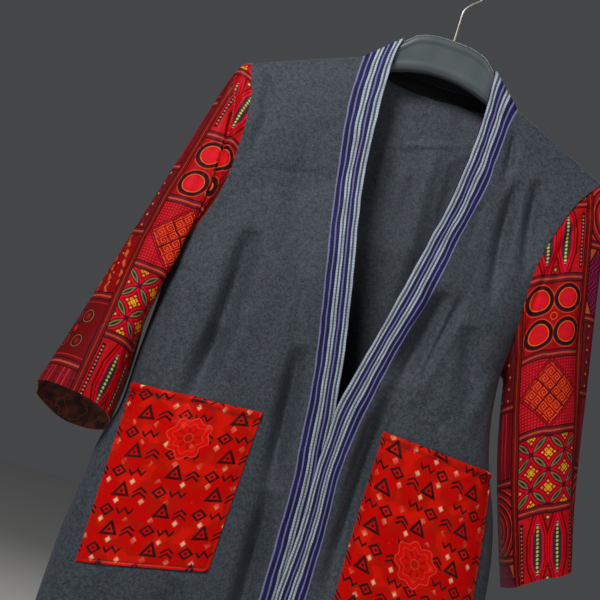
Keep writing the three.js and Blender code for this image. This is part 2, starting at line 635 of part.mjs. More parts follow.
// One sleeve: rings from the armhole loop down to the cuff, eased out at the sleeve head
function makeSleeve(side) {
  const sign = signOf[side];
  const cuff = CUFF[side];
  const armhole = armholeLoop(side);
  const count = armhole.points.length;
  const length = [0];
  armhole.points.forEach((point, k) => {
    length.push(length[k] + point.distanceTo(armhole.points[(k + 1) % count]));
  });
  const turns = armhole.points.map((_, k) => length[k] / length[count]);
  const rings = [];
  for (let i = 0; i <= SLEEVE_ROWS; i += 1) {
    const along = (i / SLEEVE_ROWS) ** SLEEVE_ROW_POWER;
    const ease = (1 - along) * (1 - Math.exp(-along / SLEEVE_HEAD.length));
    rings.push(armhole.points.map((start, k) => {
      const angle = 2 * Math.PI * turns[k];
      const tilt = Math.sin(angle) > 0 ? cuff.frontRise : cuff.backDrop;
      const end = vector(
        cuff.x + sign * cuff.halfWidth * flattened(Math.cos(angle)),
        -cuff.halfDepth * flattened(Math.sin(angle)),
        cuff.z + cuff.outerRise * Math.cos(angle) + tilt * Math.sin(angle),
      );
      const high = (1 + Math.cos(angle)) / 2;
      const point = start.clone().lerp(end, along);
      point.x += sign * lerp(SLEEVE_HEAD.underarmOut, SLEEVE_HEAD.out, Math.sqrt(high)) * ease;
      point.z += SLEEVE_HEAD.up * high * ease;
      point.x -= sign * cuff.bow * Math.sin(Math.PI * along) * (1 - high) ** 2;
      return point;
    }));
  }
  const centreOf = (ring) => ring.reduce((sum, p) => sum.add(p), vector(0, 0, 0)).divideScalar(count);
  const centres = rings.map(centreOf);
  const normals = gridNormals(rings, () => vector(0, 0, 0), true);
  normals.forEach((row, i) => row.forEach((normal, k) => {
    if (normal.dot(rings[i][k].clone().sub(centres[i])) < 0) normal.negate();
  }));
  const inner = innerGrid(rings, normals, CLOTH, (inward, i, k) => {
    if (i !== 0) return;
    inward.copy(armhole.inward[k]);
    inward.x = sign * (k === UNDERARM_ROW ? UNDERARM_LEAN : ARMHOLE_LEAN);
  });
  return shellGeometry(rings, inner, true);
}

// The hanger's top and lower edges at a distance from the middle
function hangerTop(x) {
  const share = Math.abs(x) / HANGER_NECK.halfWidth;
  const plateau = HANGER_NECK.top - HANGER_NECK.cornerDrop * Math.min(share, 1) ** 3;
  const underBand = lerp(HANGER_ARM.bandClearance, HANGER_ARM.clothClearance,
    smoothstep(Math.abs(x), BAND_STEP.start, BAND_STEP.end));
  return Math.min(plateau, ridgeHeight(x) - underBand);
}

// The hanger: rounded sections along its length, with tapered ends
function makeHanger() {
  const sections = [];
  const half = HANGER_ARM.stations;
  for (let i = -half; i <= half; i += 1) {
    const turn = (Math.PI / 2) * HANGER_ARM.spread;
    const x = HANGER_ARM.end * Math.sin(turn * (i / half)) / Math.sin(turn);
    const taper = Math.sqrt(1 - clamp((Math.abs(x) - HANGER_TIP.start) / HANGER_TIP.length, 0, 1) ** 2);
    const thickness = hangerHalfThickness(x) * taper;
    const top = hangerTop(x);
    const bottom = readTable(HANGER_LOWER, 'y', -Math.abs(x));
    const middle = (top + bottom) / 2;
    const halfHeight = (top - bottom) / 2 * lerp(HANGER_TIP.height, 1, taper);
    const straight = halfHeight - thickness;
    const ring = [];
    for (let k = 0; k < HANGER_ARM.sides; k += 1) {
      const angle = 2 * Math.PI * (k + 0.5) / HANGER_ARM.sides;
      const up = Math.sin(angle);
      const z = middle + Math.sign(up) * straight + thickness * up;
      ring.push(vector(x, thickness * Math.cos(angle), z));
    }
    sections.push(ring);
  }
  return loftGeometry(sections);
}

// Closed solid through a list of rings, with a fan over each end
function loftGeometry(rings) {
  const count = rings[0].length;
  const positions = rings.flat().flatMap((point) => [point.x, point.y, point.z]);
  const index = [];
  for (let i = 0; i < rings.length - 1; i += 1) {
    for (let k = 0; k < count; k += 1) {
      const a = i * count + k;
      const b = i * count + ((k + 1) % count);
      index.push(a, b, b + count, a, b + count, a + count);
    }
  }
  const end = (rings.length - 1) * count;
  for (let k = 1; k < count - 1; k += 1) {
    index.push(0, k + 1, k);
    index.push(end, end + k, end + k + 1);
  }
  return outwardGeometry(positions, index);
}

// The hook: a straight shank, a bend into the crook and an open end
function makeHook() {
  const { wireRadius, crookRadius } = HOOK;
  const centreZ = wireRadius - crookRadius;
  const joinAngle = degToRad(HOOK.joinAngle);
  const join = vector(crookRadius * Math.cos(joinAngle), 0, centreZ + crookRadius * Math.sin(joinAngle));
  const reach = join.x / -Math.sin(joinAngle);
  const corner = vector(0, 0, join.z - reach * Math.cos(joinAngle));
  const bendStart = vector(0, 0, corner.z - HOOK.bendLead);
  const shankEnd = vector(0, 0, HANGER_NECK.top + SEAM_GAP);
  const points = [shankEnd, shankEnd.clone().lerp(bendStart, 0.5), bendStart];
  const bend = new THREE.QuadraticBezierCurve3(bendStart, corner, join);
  points.push(...bend.getPoints(4).slice(1));
  for (let k = 1; k <= HOOK.crookSteps; k += 1) {
    const angle = lerp(joinAngle, degToRad(HOOK.endAngle), k / HOOK.crookSteps);
    points.push(vector(crookRadius * Math.cos(angle), 0, centreZ + crookRadius * Math.sin(angle)));
  }
  const path = new THREE.CatmullRomCurve3(points);
  const section = new THREE.Shape();
  for (let k = 0; k < HOOK.sides; k += 1) {
    const angle = 2 * Math.PI * k / HOOK.sides;
    const corners = [wireRadius * Math.cos(angle), wireRadius * Math.sin(angle)];
    if (k === 0) section.moveTo(...corners);
    else section.lineTo(...corners);
  }
  return new THREE.ExtrudeGeometry(section, { steps: HOOK.steps, extrudePath: path, curveSegments: 1 });
}

const group = new THREE.Group();

function addPiece(name, geometry, finish) {
  const mesh = new THREE.Mesh(geometry, new THREE.MeshStandardMaterial(finish));
  mesh.name = name;
  group.add(mesh);
}

addPiece('back', makeBack(), COLOURS.cloth);
addPiece('band_back', makeBackBand(), COLOURS.band);
for (const side of ['left', 'right']) {
  addPiece(`front_${side}`, makeFront(side), COLOURS.cloth);
  addPiece(`band_${side}`, makeFrontBand(side), COLOURS.band);
  addPiece(`sleeve_${side}`, makeSleeve(side), COLOURS.sleeve);
  addPiece(`pocket_${side}`, makePocket(side), COLOURS.pocket);
}
addPiece('hanger', makeHanger(), COLOURS.hanger);
addPiece('hanger_hook', makeHook(), COLOURS.wire);

export default group;
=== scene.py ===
# Looks of an open-fronted kimono jacket on a plastic hanger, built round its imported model.
# Garment sizes are in millimetres, as in the part's source, and MM turns them into Blender's metres.
import json
import math

import bpy
import numpy as np
from mathutils import Matrix, Vector

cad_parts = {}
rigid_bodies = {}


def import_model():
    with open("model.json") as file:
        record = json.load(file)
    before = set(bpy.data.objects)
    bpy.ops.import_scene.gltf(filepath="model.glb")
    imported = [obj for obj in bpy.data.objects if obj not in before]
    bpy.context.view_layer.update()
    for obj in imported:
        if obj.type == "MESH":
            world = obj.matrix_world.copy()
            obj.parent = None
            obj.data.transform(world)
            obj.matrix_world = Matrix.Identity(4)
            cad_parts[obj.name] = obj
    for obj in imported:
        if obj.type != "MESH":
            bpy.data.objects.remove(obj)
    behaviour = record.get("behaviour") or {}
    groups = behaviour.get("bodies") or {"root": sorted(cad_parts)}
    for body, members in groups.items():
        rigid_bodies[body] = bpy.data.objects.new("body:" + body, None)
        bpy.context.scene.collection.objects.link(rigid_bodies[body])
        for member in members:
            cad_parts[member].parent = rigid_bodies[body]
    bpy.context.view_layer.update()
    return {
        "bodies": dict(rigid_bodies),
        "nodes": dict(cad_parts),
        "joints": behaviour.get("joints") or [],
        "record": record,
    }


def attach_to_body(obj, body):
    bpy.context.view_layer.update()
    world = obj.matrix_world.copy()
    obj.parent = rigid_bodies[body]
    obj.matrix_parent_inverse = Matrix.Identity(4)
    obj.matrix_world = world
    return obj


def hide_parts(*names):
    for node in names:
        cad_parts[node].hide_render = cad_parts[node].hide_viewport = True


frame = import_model()

MM = 0.001
SIGN = {"left": -1, "right": 1}

# Camera: round the target by azimuth and elevation, then rolled about its own axis
CAMERA = {
    "target": (-0.08072, 0.0, -0.44218), "distance": 1.5, "azimuth": -5.0, "elevation": -5.0,
    "roll": 17.78, "focal_pixels": 1293.49, "image_pixels": 600, "sensor": 36.0,
}

# Driving dimensions of the jacket
SHOULDER_X = 220
SHOULDER_Z = -197
NECK_X = 98
NECK_Z = -146
BAND_TOP_X = 59
BAND_TOP_Z = -109
HEM_Z = -1015
BACK_HEM_DROP = 9
UNDERARM_Z = -452
CLOTH = 1.5
SEAM_GAP = 0.3
BAND_RISE_LENGTH = 55
FRONT_FULLNESS = {"left": 40, "right": 48}
BACK_FULLNESS = 30
BACK_NECK_FADE = 300
FULLNESS_LENGTH = 330
FULLNESS_POWER = {"front": 5, "back": 6}
FOLD_LEAD_IN = {"front": 30, "back": 40}
CREASE_LEAN = 0.8
SQUARING = {"above": 60, "below": 20}
ARMHOLE_SAMPLES = {"count": 600, "power": 1.6}
NECKLINE_POINTS = 40

# Fine waves of the cloth: their height on each part, and the drop over which they start
RIPPLE = {"front": 0.9, "back": 1.0, "sleeve": 0.8, "pocket": 0.45}
RIPPLE_START = (20, 200)

# Driving dimensions of the hanger and its hook
HANGER_NECK = {"half_width": 46, "top": -92, "corner_drop": 9}
HANGER_ARM = {"end": 204, "spread": 0.98, "band_clearance": 5.2, "cloth_clearance": 2.6}
HANGER_TIP = {"start": 190, "length": 15, "height": 0.6}
HANGER_PANEL = {"recess": 1.1, "rim": 2.2, "slope": 2.6}
BAND_STEP = {"start": 92, "end": 112}
HANGER_HALF_THICKNESS = {"middle": 7, "end": 11}
HANGER_CLEARANCE = 0.6
HOOK = {"wire": 1.8, "crook": 22, "join_angle": -50, "end_angle": 205, "bend_lead": 7, "tip": 0.02}

# Walls of the visual pieces, how far a pocket stands off its front, and how finely they are divided
SHELL = {"cloth": 1.0, "band": 2.2, "pocket": 0.9, "pocket_lift": 0.55}
GRID = {"rows": 270, "roll_rows": 10, "front": 74, "back": 156, "band": 16}
SLEEVE_GRID = {"rings": 150, "round": 176, "row_power": 1.25, "levels": 240, "calm_rings": 12}
POCKET_GRID = {"rows": 120, "columns": 84}
HANGER_GRID = {"half": 70, "arc": 14, "straight": 14}
FLAT_FACE = 1e-6
HOOK_GRID = {"shank": 12, "bend": 12, "crook": 64, "round": 16}
SHARP_DEGREES = 60
FORWARD = np.array([0, -1, 0.3])
BACKWARD = np.array([0, 1, 0.3])

# Seam between front and band, and the band's folded edge: rows are height z, distance x
FRONT_SEAM = {
    "left": [
        (-146, -98), (-165, -99), (-213, -99), (-270, -91), (-327, -82), (-385, -72), (-439, -61),
        (-494, -50), (-544, -42), (-594, -37), (-644, -31), (-703, -29), (-774, -27), (-1030, -25),
    ],
    "right": [
        (-146, 98), (-170, 91), (-215, 87), (-245, 85), (-280, 79), (-320, 69), (-375, 59),
        (-405, 53), (-459, 38), (-525, 26), (-573, 19), (-620, 16), (-670, 19), (-720, 21),
        (-1030, 22),
    ],
}
BAND_EDGE = {
    "left": [
        (-109, -59), (-128, -63), (-160, -64), (-201, -63), (-260, -59), (-318, -52), (-375, -41),
        (-429, -30), (-497, -17), (-555, -9), (-600, -3), (-650, 4), (-703, 6), (-774, 8),
        (-1030, 10),
    ],
    "right": [
        (-109, 59), (-129, 57), (-166, 57), (-193, 56), (-225, 54), (-284, 46), (-350, 31),
        (-413, 18), (-453, 10), (-497, 0), (-540, -9), (-588, -11), (-637, -11), (-686, -9),
        (-768, -12), (-1030, -13),
    ],
}

# Armhole seam from the shoulder to the underarm, then the side seam: rows are height z, distance x
SIDE = {
    "left": [
        (-197, -220), (-215, -215), (-235, -209), (-266, -205), (-323, -204), (-357, -208),
        (-387, -216), (-420, -228), (-452, -236), (-500, -237), (-560, -239), (-620, -240),
        (-663, -250), (-711, -254), (-778, -260), (-1030, -262),
    ],
    "right": [
        (-197, 220), (-212, 209), (-228, 197), (-257, 184), (-300, 171), (-340, 166),
        (-396, 168), (-452, 170), (-476, 171), (-513, 176), (-561, 189), (-612, 210),
        (-650, 221), (-690, 228), (-760, 234), (-1030, 244),
    ],
}
ARMHOLE_DEPTH = [
    (-210, 13), (-235, 21), (-280, 28), (-340, 31), (-395, 27), (-425, 18), (-443, 9), (-452, 0),
]

# Neck seam behind the neck with the band's edge above it: x, y, z, edge x, edge y, edge z
BACK_NECKLINE = [
    (98, 0, -146, 59, 0, -109), (91, 6, -141.5, 57, 7, -108.2), (81, 15, -139, 53, 14, -107),
    (65, 24, -139.5, 44, 20, -105.8), (42, 28, -141, 28, 23, -104.5),
    (21, 28.5, -142, 14, 24, -104), (0, 29, -142, 0, 24, -104),
]

# Lower edge of the hanger: distance from the middle, height
HANGER_LOWER = [(0, -139), (20, -140), (41, -145), (64, -153), (98, -176), (150, -201), (206, -221)]

# Cuff edge of each sleeve
CUFF = {
    "left": {"x": -290.5, "z": -632, "half_width": 45.5, "half_depth": 54, "outer_rise": 8,
             "front_rise": 13, "back_drop": 26, "bow": 0},
    "right": {"x": 282, "z": -667, "half_width": 31, "half_depth": 54, "outer_rise": 20,
              "front_rise": 10, "back_drop": 10, "bow": 9},
}
CUFF_FLATNESS = 0.8
SLEEVE_HEAD = {"out": 11, "underarm_out": 6, "up": 3, "length": 0.02}

# Main folds, soft troughs: x and z of the start, x and z of the end, width, depth
FRONT_FOLDS = {
    "left": [
        (-199, -205, -184, -262, 7, 6), (-184, -250, -193, -318, 8, 7),
        (-157, -385, -162, -590, 12, 24), (-68, -495, -51, -680, 10, 25),
        (-51, -660, -38, -860, 11, 27), (-118, -780, -128, -1040, 16, 18),
        (-196, -790, -205, -1040, 15, 12), (-128, -240, -112, -420, 18, 5),
        (-162, -500, -172, -620, 14, 12),
    ],
    "right": [
        (101, -176, 104, -252, 6, 6), (142, -222, 158, -345, 8, 17), (118, -232, 124, -390, 8, 15),
        (72, -385, 47, -520, 10, 24), (46, -505, 40, -760, 11, 27), (108, -415, 136, -505, 14, 14),
        (92, -380, 70, -500, 6, 10),
        (70, -775, 62, -1040, 14, 16), (160, -780, 170, -1040, 15, 11),
    ],
}
BACK_FOLDS = [
    (24, -205, 30, -470, 13, 7), (-42, -330, -50, -640, 15, 8), (-128, -260, -112, -560, 15, 8),
    (112, -250, 104, -600, 14, 9), (-95, -620, -110, -1050, 18, 13), (-10, -600, -4, -1050, 16, 11),
    (92, -640, 104, -1050, 18, 13), (-188, -560, -196, -1050, 15, 10), (178, -660, 186, -1050, 15, 10),
]

# Finer creases: the same columns, and a minus depth is a ridge
FRONT_CREASES = {
    "left": [
        (-175, -316, -85, -296, 2.2, 1.6), (-196, -208, -176, -245, 4, 2.5),
        (-150, -360, -186, -470, 8, 2.2), (-203, -330, -180, -420, 7, 2.4),
        (-214, -455, -176, -545, 9, 3.0), (-96, -330, -104, -520, 12, 1.8),
        (-88, -420, -70, -520, 7, 2.4), (-133, -470, -140, -600, 8, -2.0),
        (-226, -480, -215, -590, 7, 2.2), (-150, -545, -110, -575, 6, 1.6),
        (-62, -560, -84, -600, 5, 1.4), (-172, -860, -160, -1020, 9, 3.4),
        (-92, -790, -84, -1020, 9, -3.2), (-228, -800, -234, -1030, 8, 3.0),
        (-55, -880, -52, -1030, 8, 3.2), (-204, -240, -150, -262, 6, 1.4),
    ],
    "right": [
        (98, -182, 108, -228, 3.4, 2.6), (131, -236, 150, -318, 4, 2.2),
        (110, -250, 112, -350, 5, 2.0), (166, -250, 158, -330, 6, 2.4),
        (88, -268, 78, -350, 5, 1.8), (58, -395, 38, -500, 5, 7), (32, -540, 28, -660, 5, 7),
        (66, -520, 58, -700, 6, 2.0), (96, -430, 86, -540, 8, 2.6), (150, -440, 120, -540, 9, 3.0),
        (162, -452, 150, -560, 6, 2.2), (120, -505, 98, -556, 6, 1.6),
        (34, -800, 38, -1020, 8, 3.0), (118, -800, 128, -1030, 10, -3.6),
        (196, -800, 204, -1030, 9, 3.4), (92, -860, 88, -1030, 8, 2.6),
        (74, -300, 92, -262, 4, 1.4),
    ],
}
BACK_CREASES = [
    (-49, -235, 72, -195, 2.0, 2.8), (7, -139, 6, -166, 2.0, 1.6), (-5, -242, 1, -296, 5, 2.2),
    (40, -215, 46, -330, 7, 2.4), (-30, -220, -34, -320, 8, 2.0), (62, -240, 70, -360, 7, 2.2),
    (-150, -235, -172, -330, 8, 3.2), (150, -235, 166, -340, 8, 3.2), (-196, -300, -150, -420, 8, 3.0),
    (160, -330, 128, -430, 8, 2.8), (-86, -300, -80, -480, 9, -2.2), (70, -420, 64, -620, 9, 2.6),
    (-66, -660, -74, -900, 8, 3.2), (34, -700, 42, -960, 9, -3.4), (-150, -700, -156, -980, 9, 3.2),
    (140, -720, 146, -1000, 9, 3.0), (-30, -840, -34, -1020, 8, 2.8), (-222, -700, -230, -1000, 8, 2.6),
]

# Creases of the sleeves: u and v of the start, u and v of the end, width, depth
SLEEVE_CREASES = {
    "left": [
        (34, 405, 52, 300, 6, 3.4), (40, 330, 66, 240, 7, 3.0), (58, 250, 74, 150, 7, 2.4),
        (22, 240, 44, 96, 9, 2.2), (84, 170, 108, 60, 8, 2.4), (60, 118, 30, 40, 8, 2.0),
        (-40, 380, -60, 260, 8, 3.2), (-76, 300, -92, 140, 9, 3.4), (-30, 220, -44, 70, 9, 2.6),
        (-120, 190, -108, 60, 8, 2.6), (130, 150, 118, 40, 7, 2.2), (96, 250, 80, 170, 6, -2.0),
        (-42, 150, -38, -170, 12, -8), (-92, 160, -84, -170, 15, 8), (-130, 120, -128, -150, 10, -4),
    ],
    "right": [
        (60, 400, 84, 300, 7, 3.4), (34, 330, 40, 200, 8, 3.0), (96, 300, 84, 190, 8, 3.0),
        (60, 220, 66, 90, 9, -2.4), (30, 160, 36, 40, 8, 2.6), (110, 180, 98, 50, 8, 2.6),
        (84, 130, 90, 20, 7, 2.2), (-40, 380, -60, 260, 8, 3.2), (-76, 300, -92, 140, 9, 3.4),
        (-30, 220, -44, 70, 9, 2.6), (-110, 190, -100, 60, 8, 2.6),
    ],
}

# Patch pockets by their corners on the fronts, with the sag of the outer side
POCKETS = {
    "left": {"top": -579, "top_inner": -87, "top_outer": -232, "bottom": -763,
             "bottom_inner": -91, "bottom_outer": -231, "outer_drop": 12, "bottom_drop": 32},
    "right": {"top": -558, "top_inner": 53, "top_outer": 186, "bottom": -762,
              "bottom_inner": 51, "bottom_outer": 212, "outer_drop": 8, "bottom_drop": 8},
}

# Their top hem, the border sewn down round them, and the cloth inside it
POCKET_HEM = {"width": 8, "height": 2.0, "wave": 1.1, "short": 9, "long": 23}
POCKET_EDGE = {
    "stitch": 3.2, "groove": 0.9, "groove_width": 0.9, "fold": 0.45, "fold_inside": 2.6, "fold_outside": 1.2,
}
POCKET_PUCKER = {"height": 0.11, "pitch": 1.9, "reach": 5}
POCKET_MIDDLE = {"creased_from": 14, "lifted_from": 20, "ripple_scale": 1.6}
POCKET_CREASES = {
    "left": [
        (-118, -700, -215, -676, 8, 1.3), (-100, -640, -190, -622, 10, -1.0),
        (-130, -752, -226, -738, 7, 1.2),
    ],
    "right": [
        (70, -640, 150, -610, 9, 1.2), (92, -716, 196, -694, 8, 1.3), (130, -590, 176, -650, 9, -1.0),
    ],
}

# Roll of gathered cloth beside each armhole seam, and the valley after it
HEAD_ROLL = {
    "left": {"height": 2.6, "depth": 5.0, "pucker": 0.75, "place": 10, "valley": 25, "back": 0.5,
             "hidden": 24},
    "right": {"height": 1.4, "depth": 1.6, "pucker": 0.6, "place": 8, "valley": 19, "back": 0.8,
              "hidden": 0},
}
ROLL_REACH = {"ridge": 6, "valley": 5.5, "pucker": 15, "seam": 3, "hidden": 2, "ends": 0.6}
HEAD_PUCKER = {"pitch": 1.5, "swing": 1.6, "length": 17}

# Sewing: length and pitch of a stitch, its thread and how far a line lies from the edge
STITCH = {
    "length": 2.9, "pitch": 3.7, "radius": 0.42, "lift": 0.1, "hem": 18, "cuff": 12,
    "sections": 5, "sides": 6, "blunt": 0.08,
}

# Height of the print at each cuff's edge
CUFF_PRINT = {"left": 14, "right": 9}

# Where the middle of the outer frame runs on each sleeve: rows are height v, distance u
FRAME_LINE = {
    "left": [(0, 82), (77, 65), (141, 49), (199, 34), (264, 25), (302, 24), (361, 20), (450, 15)],
    "right": [(0, 38), (60, 36), (250, 34), (450, 34)],
}


def lerp(start, end, share):
    return start + (end - start) * share


def smooth_share(value, low, high):
    share = np.clip((value - low) / (high - low), 0, 1)
    return share * share * (3 - 2 * share)


def read_table(rows, z):
    """Smooth curve through the rows of a table, read at heights z"""
    heights, values = np.array(rows, float).T
    last = len(heights) - 1
    k = np.clip(np.searchsorted(-heights, -z) - 1, 0, last - 1)
    before, after = np.maximum(k - 1, 0), np.minimum(k + 2, last)
    span = heights[k + 1] - heights[k]
    t = np.clip((z - heights[k]) / span, 0, 1)
    start_slope = (values[k + 1] - values[before]) / (heights[k + 1] - heights[before]) * span
    end_slope = (values[after] - values[k]) / (heights[after] - heights[k]) * span
    return (
        (2 * t**3 - 3 * t**2 + 1) * values[k] + (t**3 - 2 * t**2 + t) * start_slope
        + (3 * t**2 - 2 * t**3) * values[k + 1] + (t**3 - t**2) * end_slope
    )


def crease_depth(rows, a, b):
    """Sum of soft troughs along straight lines, in the surface's own two coordinates"""
    depth = np.zeros(np.broadcast(a, b).shape)
    for a0, b0, a1, b1, width, height in rows:
        length = math.hypot(a1 - a0, b1 - b0)
        along = ((a - a0) * (a1 - a0) + (b - b0) * (b1 - b0)) / length**2
        across = ((a - a0) * (b1 - b0) - (b - b0) * (a1 - a0)) / length / width
        fade = np.sin(math.pi * np.clip(along, 0, 1) ** CREASE_LEAN)
        depth = depth + height * fade * np.exp(-across**2)
    return depth


def travelled(points):
    """Distance from the first row of points, down each column"""
    steps = np.linalg.norm(np.diff(points, axis=0), axis=-1).cumsum(axis=0)
    return np.concatenate([np.zeros_like(steps[:1]), steps])


def read_path(places, lengths, points):
    """Points at places along a path, whose own points lie at the given lengths"""
    return np.stack([np.interp(places, lengths, points[:, k]) for k in range(3)], axis=-1)


def ripple(a, b, seed):
    """Shallow uneven waves of the cloth, about one high, with no repeat that shows"""
    return (
        np.sin(a / 23 + 1.3 * np.sin(b / 61 + seed) + seed) * 0.45
        + np.sin(a / 11.7 + b / 87 + 2.1 * seed) * np.sin(b / 43 + 3.7 * seed) * 0.3
        + np.sin(b / 29 - a / 53 + 5.1 * seed) * 0.25
    )


def ridge_height(x):
    distance = np.abs(x)
    inner = (BAND_TOP_Z - NECK_Z) / (NECK_X - BAND_TOP_X)
    outer = (NECK_Z - SHOULDER_Z) / (SHOULDER_X - NECK_X)
    return NECK_Z - (distance - NECK_X) * np.where(distance < NECK_X, inner, outer)


def hanger_half_thickness(x):
    share = np.clip(np.abs(x) / HANGER_ARM["end"], 0, 1)
    return lerp(HANGER_HALF_THICKNESS["middle"], HANGER_HALF_THICKNESS["end"], share)


def roll_radius(x):
    return hanger_half_thickness(x) + CLOTH + HANGER_CLEARANCE


def roll_depth(radius, drop):
    rest = 1 - np.minimum(drop / radius, 1)
    return radius * np.sqrt(np.maximum(1 - rest**2, 0))


def armhole_depth(z):
    radius = roll_radius(SHOULDER_X)
    drop = np.maximum(SHOULDER_Z - z, 0)
    return np.where(drop < radius, roll_depth(radius, drop), read_table(ARMHOLE_DEPTH, z))


def outer_edge_depth(top, drop):
    share = drop / (top - UNDERARM_Z)
    return np.where(share < 1, armhole_depth(lerp(SHOULDER_Z, UNDERARM_Z, share)), 0)


def fullness_left(share, z, power):
    squared = smooth_share(-z, -UNDERARM_Z - SQUARING["above"], -UNDERARM_Z + SQUARING["below"])
    return np.maximum(1 - share**power, 0) ** lerp(1, 0.5, squared)


def close_at_side(middle, at_edge, left, trough, drop, lead_in):
    """Depth of a panel between its fullness in the middle and its edge, less its troughs"""
    depth = SEAM_GAP / 2 + at_edge + (np.maximum(middle, at_edge) - at_edge) * left
    return depth - trough * np.minimum(1, drop / lead_in) * left


def front_depth(side, x, z):
    """Depth of a front: rolled over the hanger, full in the middle, closing at the side"""
    seam, edge = read_table(FRONT_SEAM[side], z), read_table(SIDE[side], z)
    share = np.clip((x - seam) / (edge - seam), 0, 1)
    drop = np.maximum(ridge_height(x) - z, 0)
    swell = FRONT_FULLNESS[side] * smooth_share(drop, 0, FULLNESS_LENGTH)
    middle = roll_depth(roll_radius(x), drop) + swell
    at_edge = outer_edge_depth(ridge_height(x), drop)
    left = fullness_left(share, z, FULLNESS_POWER["front"])
    trough = crease_depth(FRONT_FOLDS[side] + FRONT_CREASES[side], x, z)
    trough = trough + ripple(x, z, SIGN[side] + 2) * smooth_share(drop, *RIPPLE_START) * RIPPLE["front"]
    return close_at_side(middle, at_edge, left, trough, drop, FOLD_LEAD_IN["front"])


def neckline_at(x):
    """Depth and height of the back's neck seam at a distance from the middle"""
    columns = np.array(BACK_NECKLINE, float)[::-1].T
    distance = np.minimum(np.abs(x), NECK_X)
    return np.interp(distance, columns[0], columns[1]), np.interp(distance, columns[0], columns[2])


def back_top(x):
    return np.where(np.abs(x) >= NECK_X, ridge_height(x), neckline_at(x)[1])


def side_at(x, z):
    return np.where(x < 0, -read_table(SIDE["left"], z), read_table(SIDE["right"], z))


def back_depth(top_x, x, z, drop):
    share = np.clip(np.abs(x) / side_at(x, z), 0, 1)
    swell = BACK_FULLNESS * smooth_share(drop, 0, FULLNESS_LENGTH)
    radius = roll_radius(top_x)
    start = neckline_at(top_x)[0]
    start_drop = np.where(start < radius, radius - np.sqrt(np.maximum(radius**2 - start**2, 0)), radius)
    kept = start * (1 - smooth_share(drop, 0, BACK_NECK_FADE))
    middle = np.maximum(kept, roll_depth(radius, drop + start_drop)) + swell
    at_edge = outer_edge_depth(back_top(top_x), drop)
    left = fullness_left(share, z, FULLNESS_POWER["back"])
    trough = crease_depth(BACK_FOLDS + BACK_CREASES, x, z)
    trough = trough + ripple(x, z, 5) * smooth_share(drop, *RIPPLE_START) * RIPPLE["back"]
    return close_at_side(middle, at_edge, left, trough, drop, FOLD_LEAD_IN["back"])


def panel_heights(x, top, hem):
    """Heights down each column: round the hanger's roll, then evenly to the hem"""
    radius = roll_radius(x)
    angles = np.radians(np.linspace(0, 90, GRID["roll_rows"] + 1))[:, None]
    roll = radius * (1 - np.cos(angles))
    share = np.linspace(0, 1, GRID["rows"] - GRID["roll_rows"])[1:, None]
    return top - np.vstack([roll, radius + (top - hem - radius) * share])


def arc_coordinates(grid):
    """Distances across and down a grid of points, for a texture in real units"""
    across = travelled(grid.transpose(1, 0, 2)).T
    return np.stack([across, -travelled(grid)], axis=-1) * MM


def grid_normals(grid, guide, ring=False):
    down = np.gradient(grid, axis=0)
    across = (np.roll(grid, -1, 1) - np.roll(grid, 1, 1)) if ring else np.gradient(grid, axis=1)
    normals = np.cross(down, across)
    normals /= np.maximum(np.linalg.norm(normals, axis=-1, keepdims=True), 1e-9)
    return normals if (normals * guide).sum() > 0 else -normals


def quads(a, b, c, d):
    return np.stack([a, b, c, d], axis=-1).reshape(-1, 4)


def add_mesh(name, points, faces, materials):
    """Smooth mesh from points in millimetres, with sharp edges where it turns steeply"""
    mesh = bpy.data.meshes.new(name)
    mesh.from_pydata((points * MM).tolist(), [], faces)
    for material in materials:
        mesh.materials.append(material)
    mesh.polygons.foreach_set("use_smooth", np.ones(len(mesh.polygons), bool))
    mesh.set_sharp_from_angle(angle=math.radians(SHARP_DEGREES))
    mesh.update()
    piece = bpy.data.objects.new(name, mesh)
    bpy.context.scene.collection.objects.link(piece)
    return piece


def add_shell(name, outer, inner, uv, materials, ring=False):
    """Closed cloth wall from an outer and an inner grid; its inner face has the second material"""
    rows, columns = outer.shape[:2]
    spans = columns if ring else columns - 1
    i, j = np.meshgrid(np.arange(rows - 1), np.arange(spans), indexing="ij")
    last, first, span = np.full(spans, rows - 1), np.zeros(spans, int), np.arange(spans)

    def vertex(layer, row, column):
        return layer * rows * columns + row * columns + column % columns

    def corner(layer, row, column):
        return row * uv.shape[1] + column

    def faces(at):
        wall = [
            quads(at(0, i, j), at(0, i + 1, j), at(0, i + 1, j + 1), at(0, i, j + 1)),
            quads(at(1, i, j), at(1, i, j + 1), at(1, i + 1, j + 1), at(1, i + 1, j)),
            quads(at(0, first, span), at(0, first, span + 1), at(1, first, span + 1), at(1, first, span)),
            quads(at(0, last, span), at(1, last, span), at(1, last, span + 1), at(0, last, span + 1)),
        ]
        if not ring:
            row = np.arange(rows - 1)
            left, right = np.zeros(rows - 1, int), np.full(rows - 1, columns - 1)
            wall += [
                quads(at(0, row, left), at(1, row, left), at(1, row + 1, left), at(0, row + 1, left)),
                quads(at(0, row, right), at(0, row + 1, right), at(1, row + 1, right), at(1, row, right)),
            ]
        return wall

    vertices = faces(vertex)
    corners = np.concatenate(faces(corner))
    inside = np.concatenate([np.full(len(part), k == 1) for k, part in enumerate(vertices)])
    vertices = np.concatenate(vertices)
    points = np.concatenate([outer.reshape(-1, 3), inner.reshape(-1, 3)])
    a, b, c = (points[vertices[:, k]] for k in (0, 1, 2))
    if (a * np.cross(b, c)).sum() < 0:
        vertices, corners = vertices[:, ::-1], corners[:, ::-1]
    piece = add_mesh(name, points, vertices.tolist(), materials)
    layer = piece.data.uv_layers.new(name="UVMap")
    layer.data.foreach_set("uv", uv.reshape(-1, 2)[corners].astype(np.float32).ravel())
    piece.data.polygons.foreach_set("material_index", inside.astype(np.int32))
    piece.data.update()
    return piece


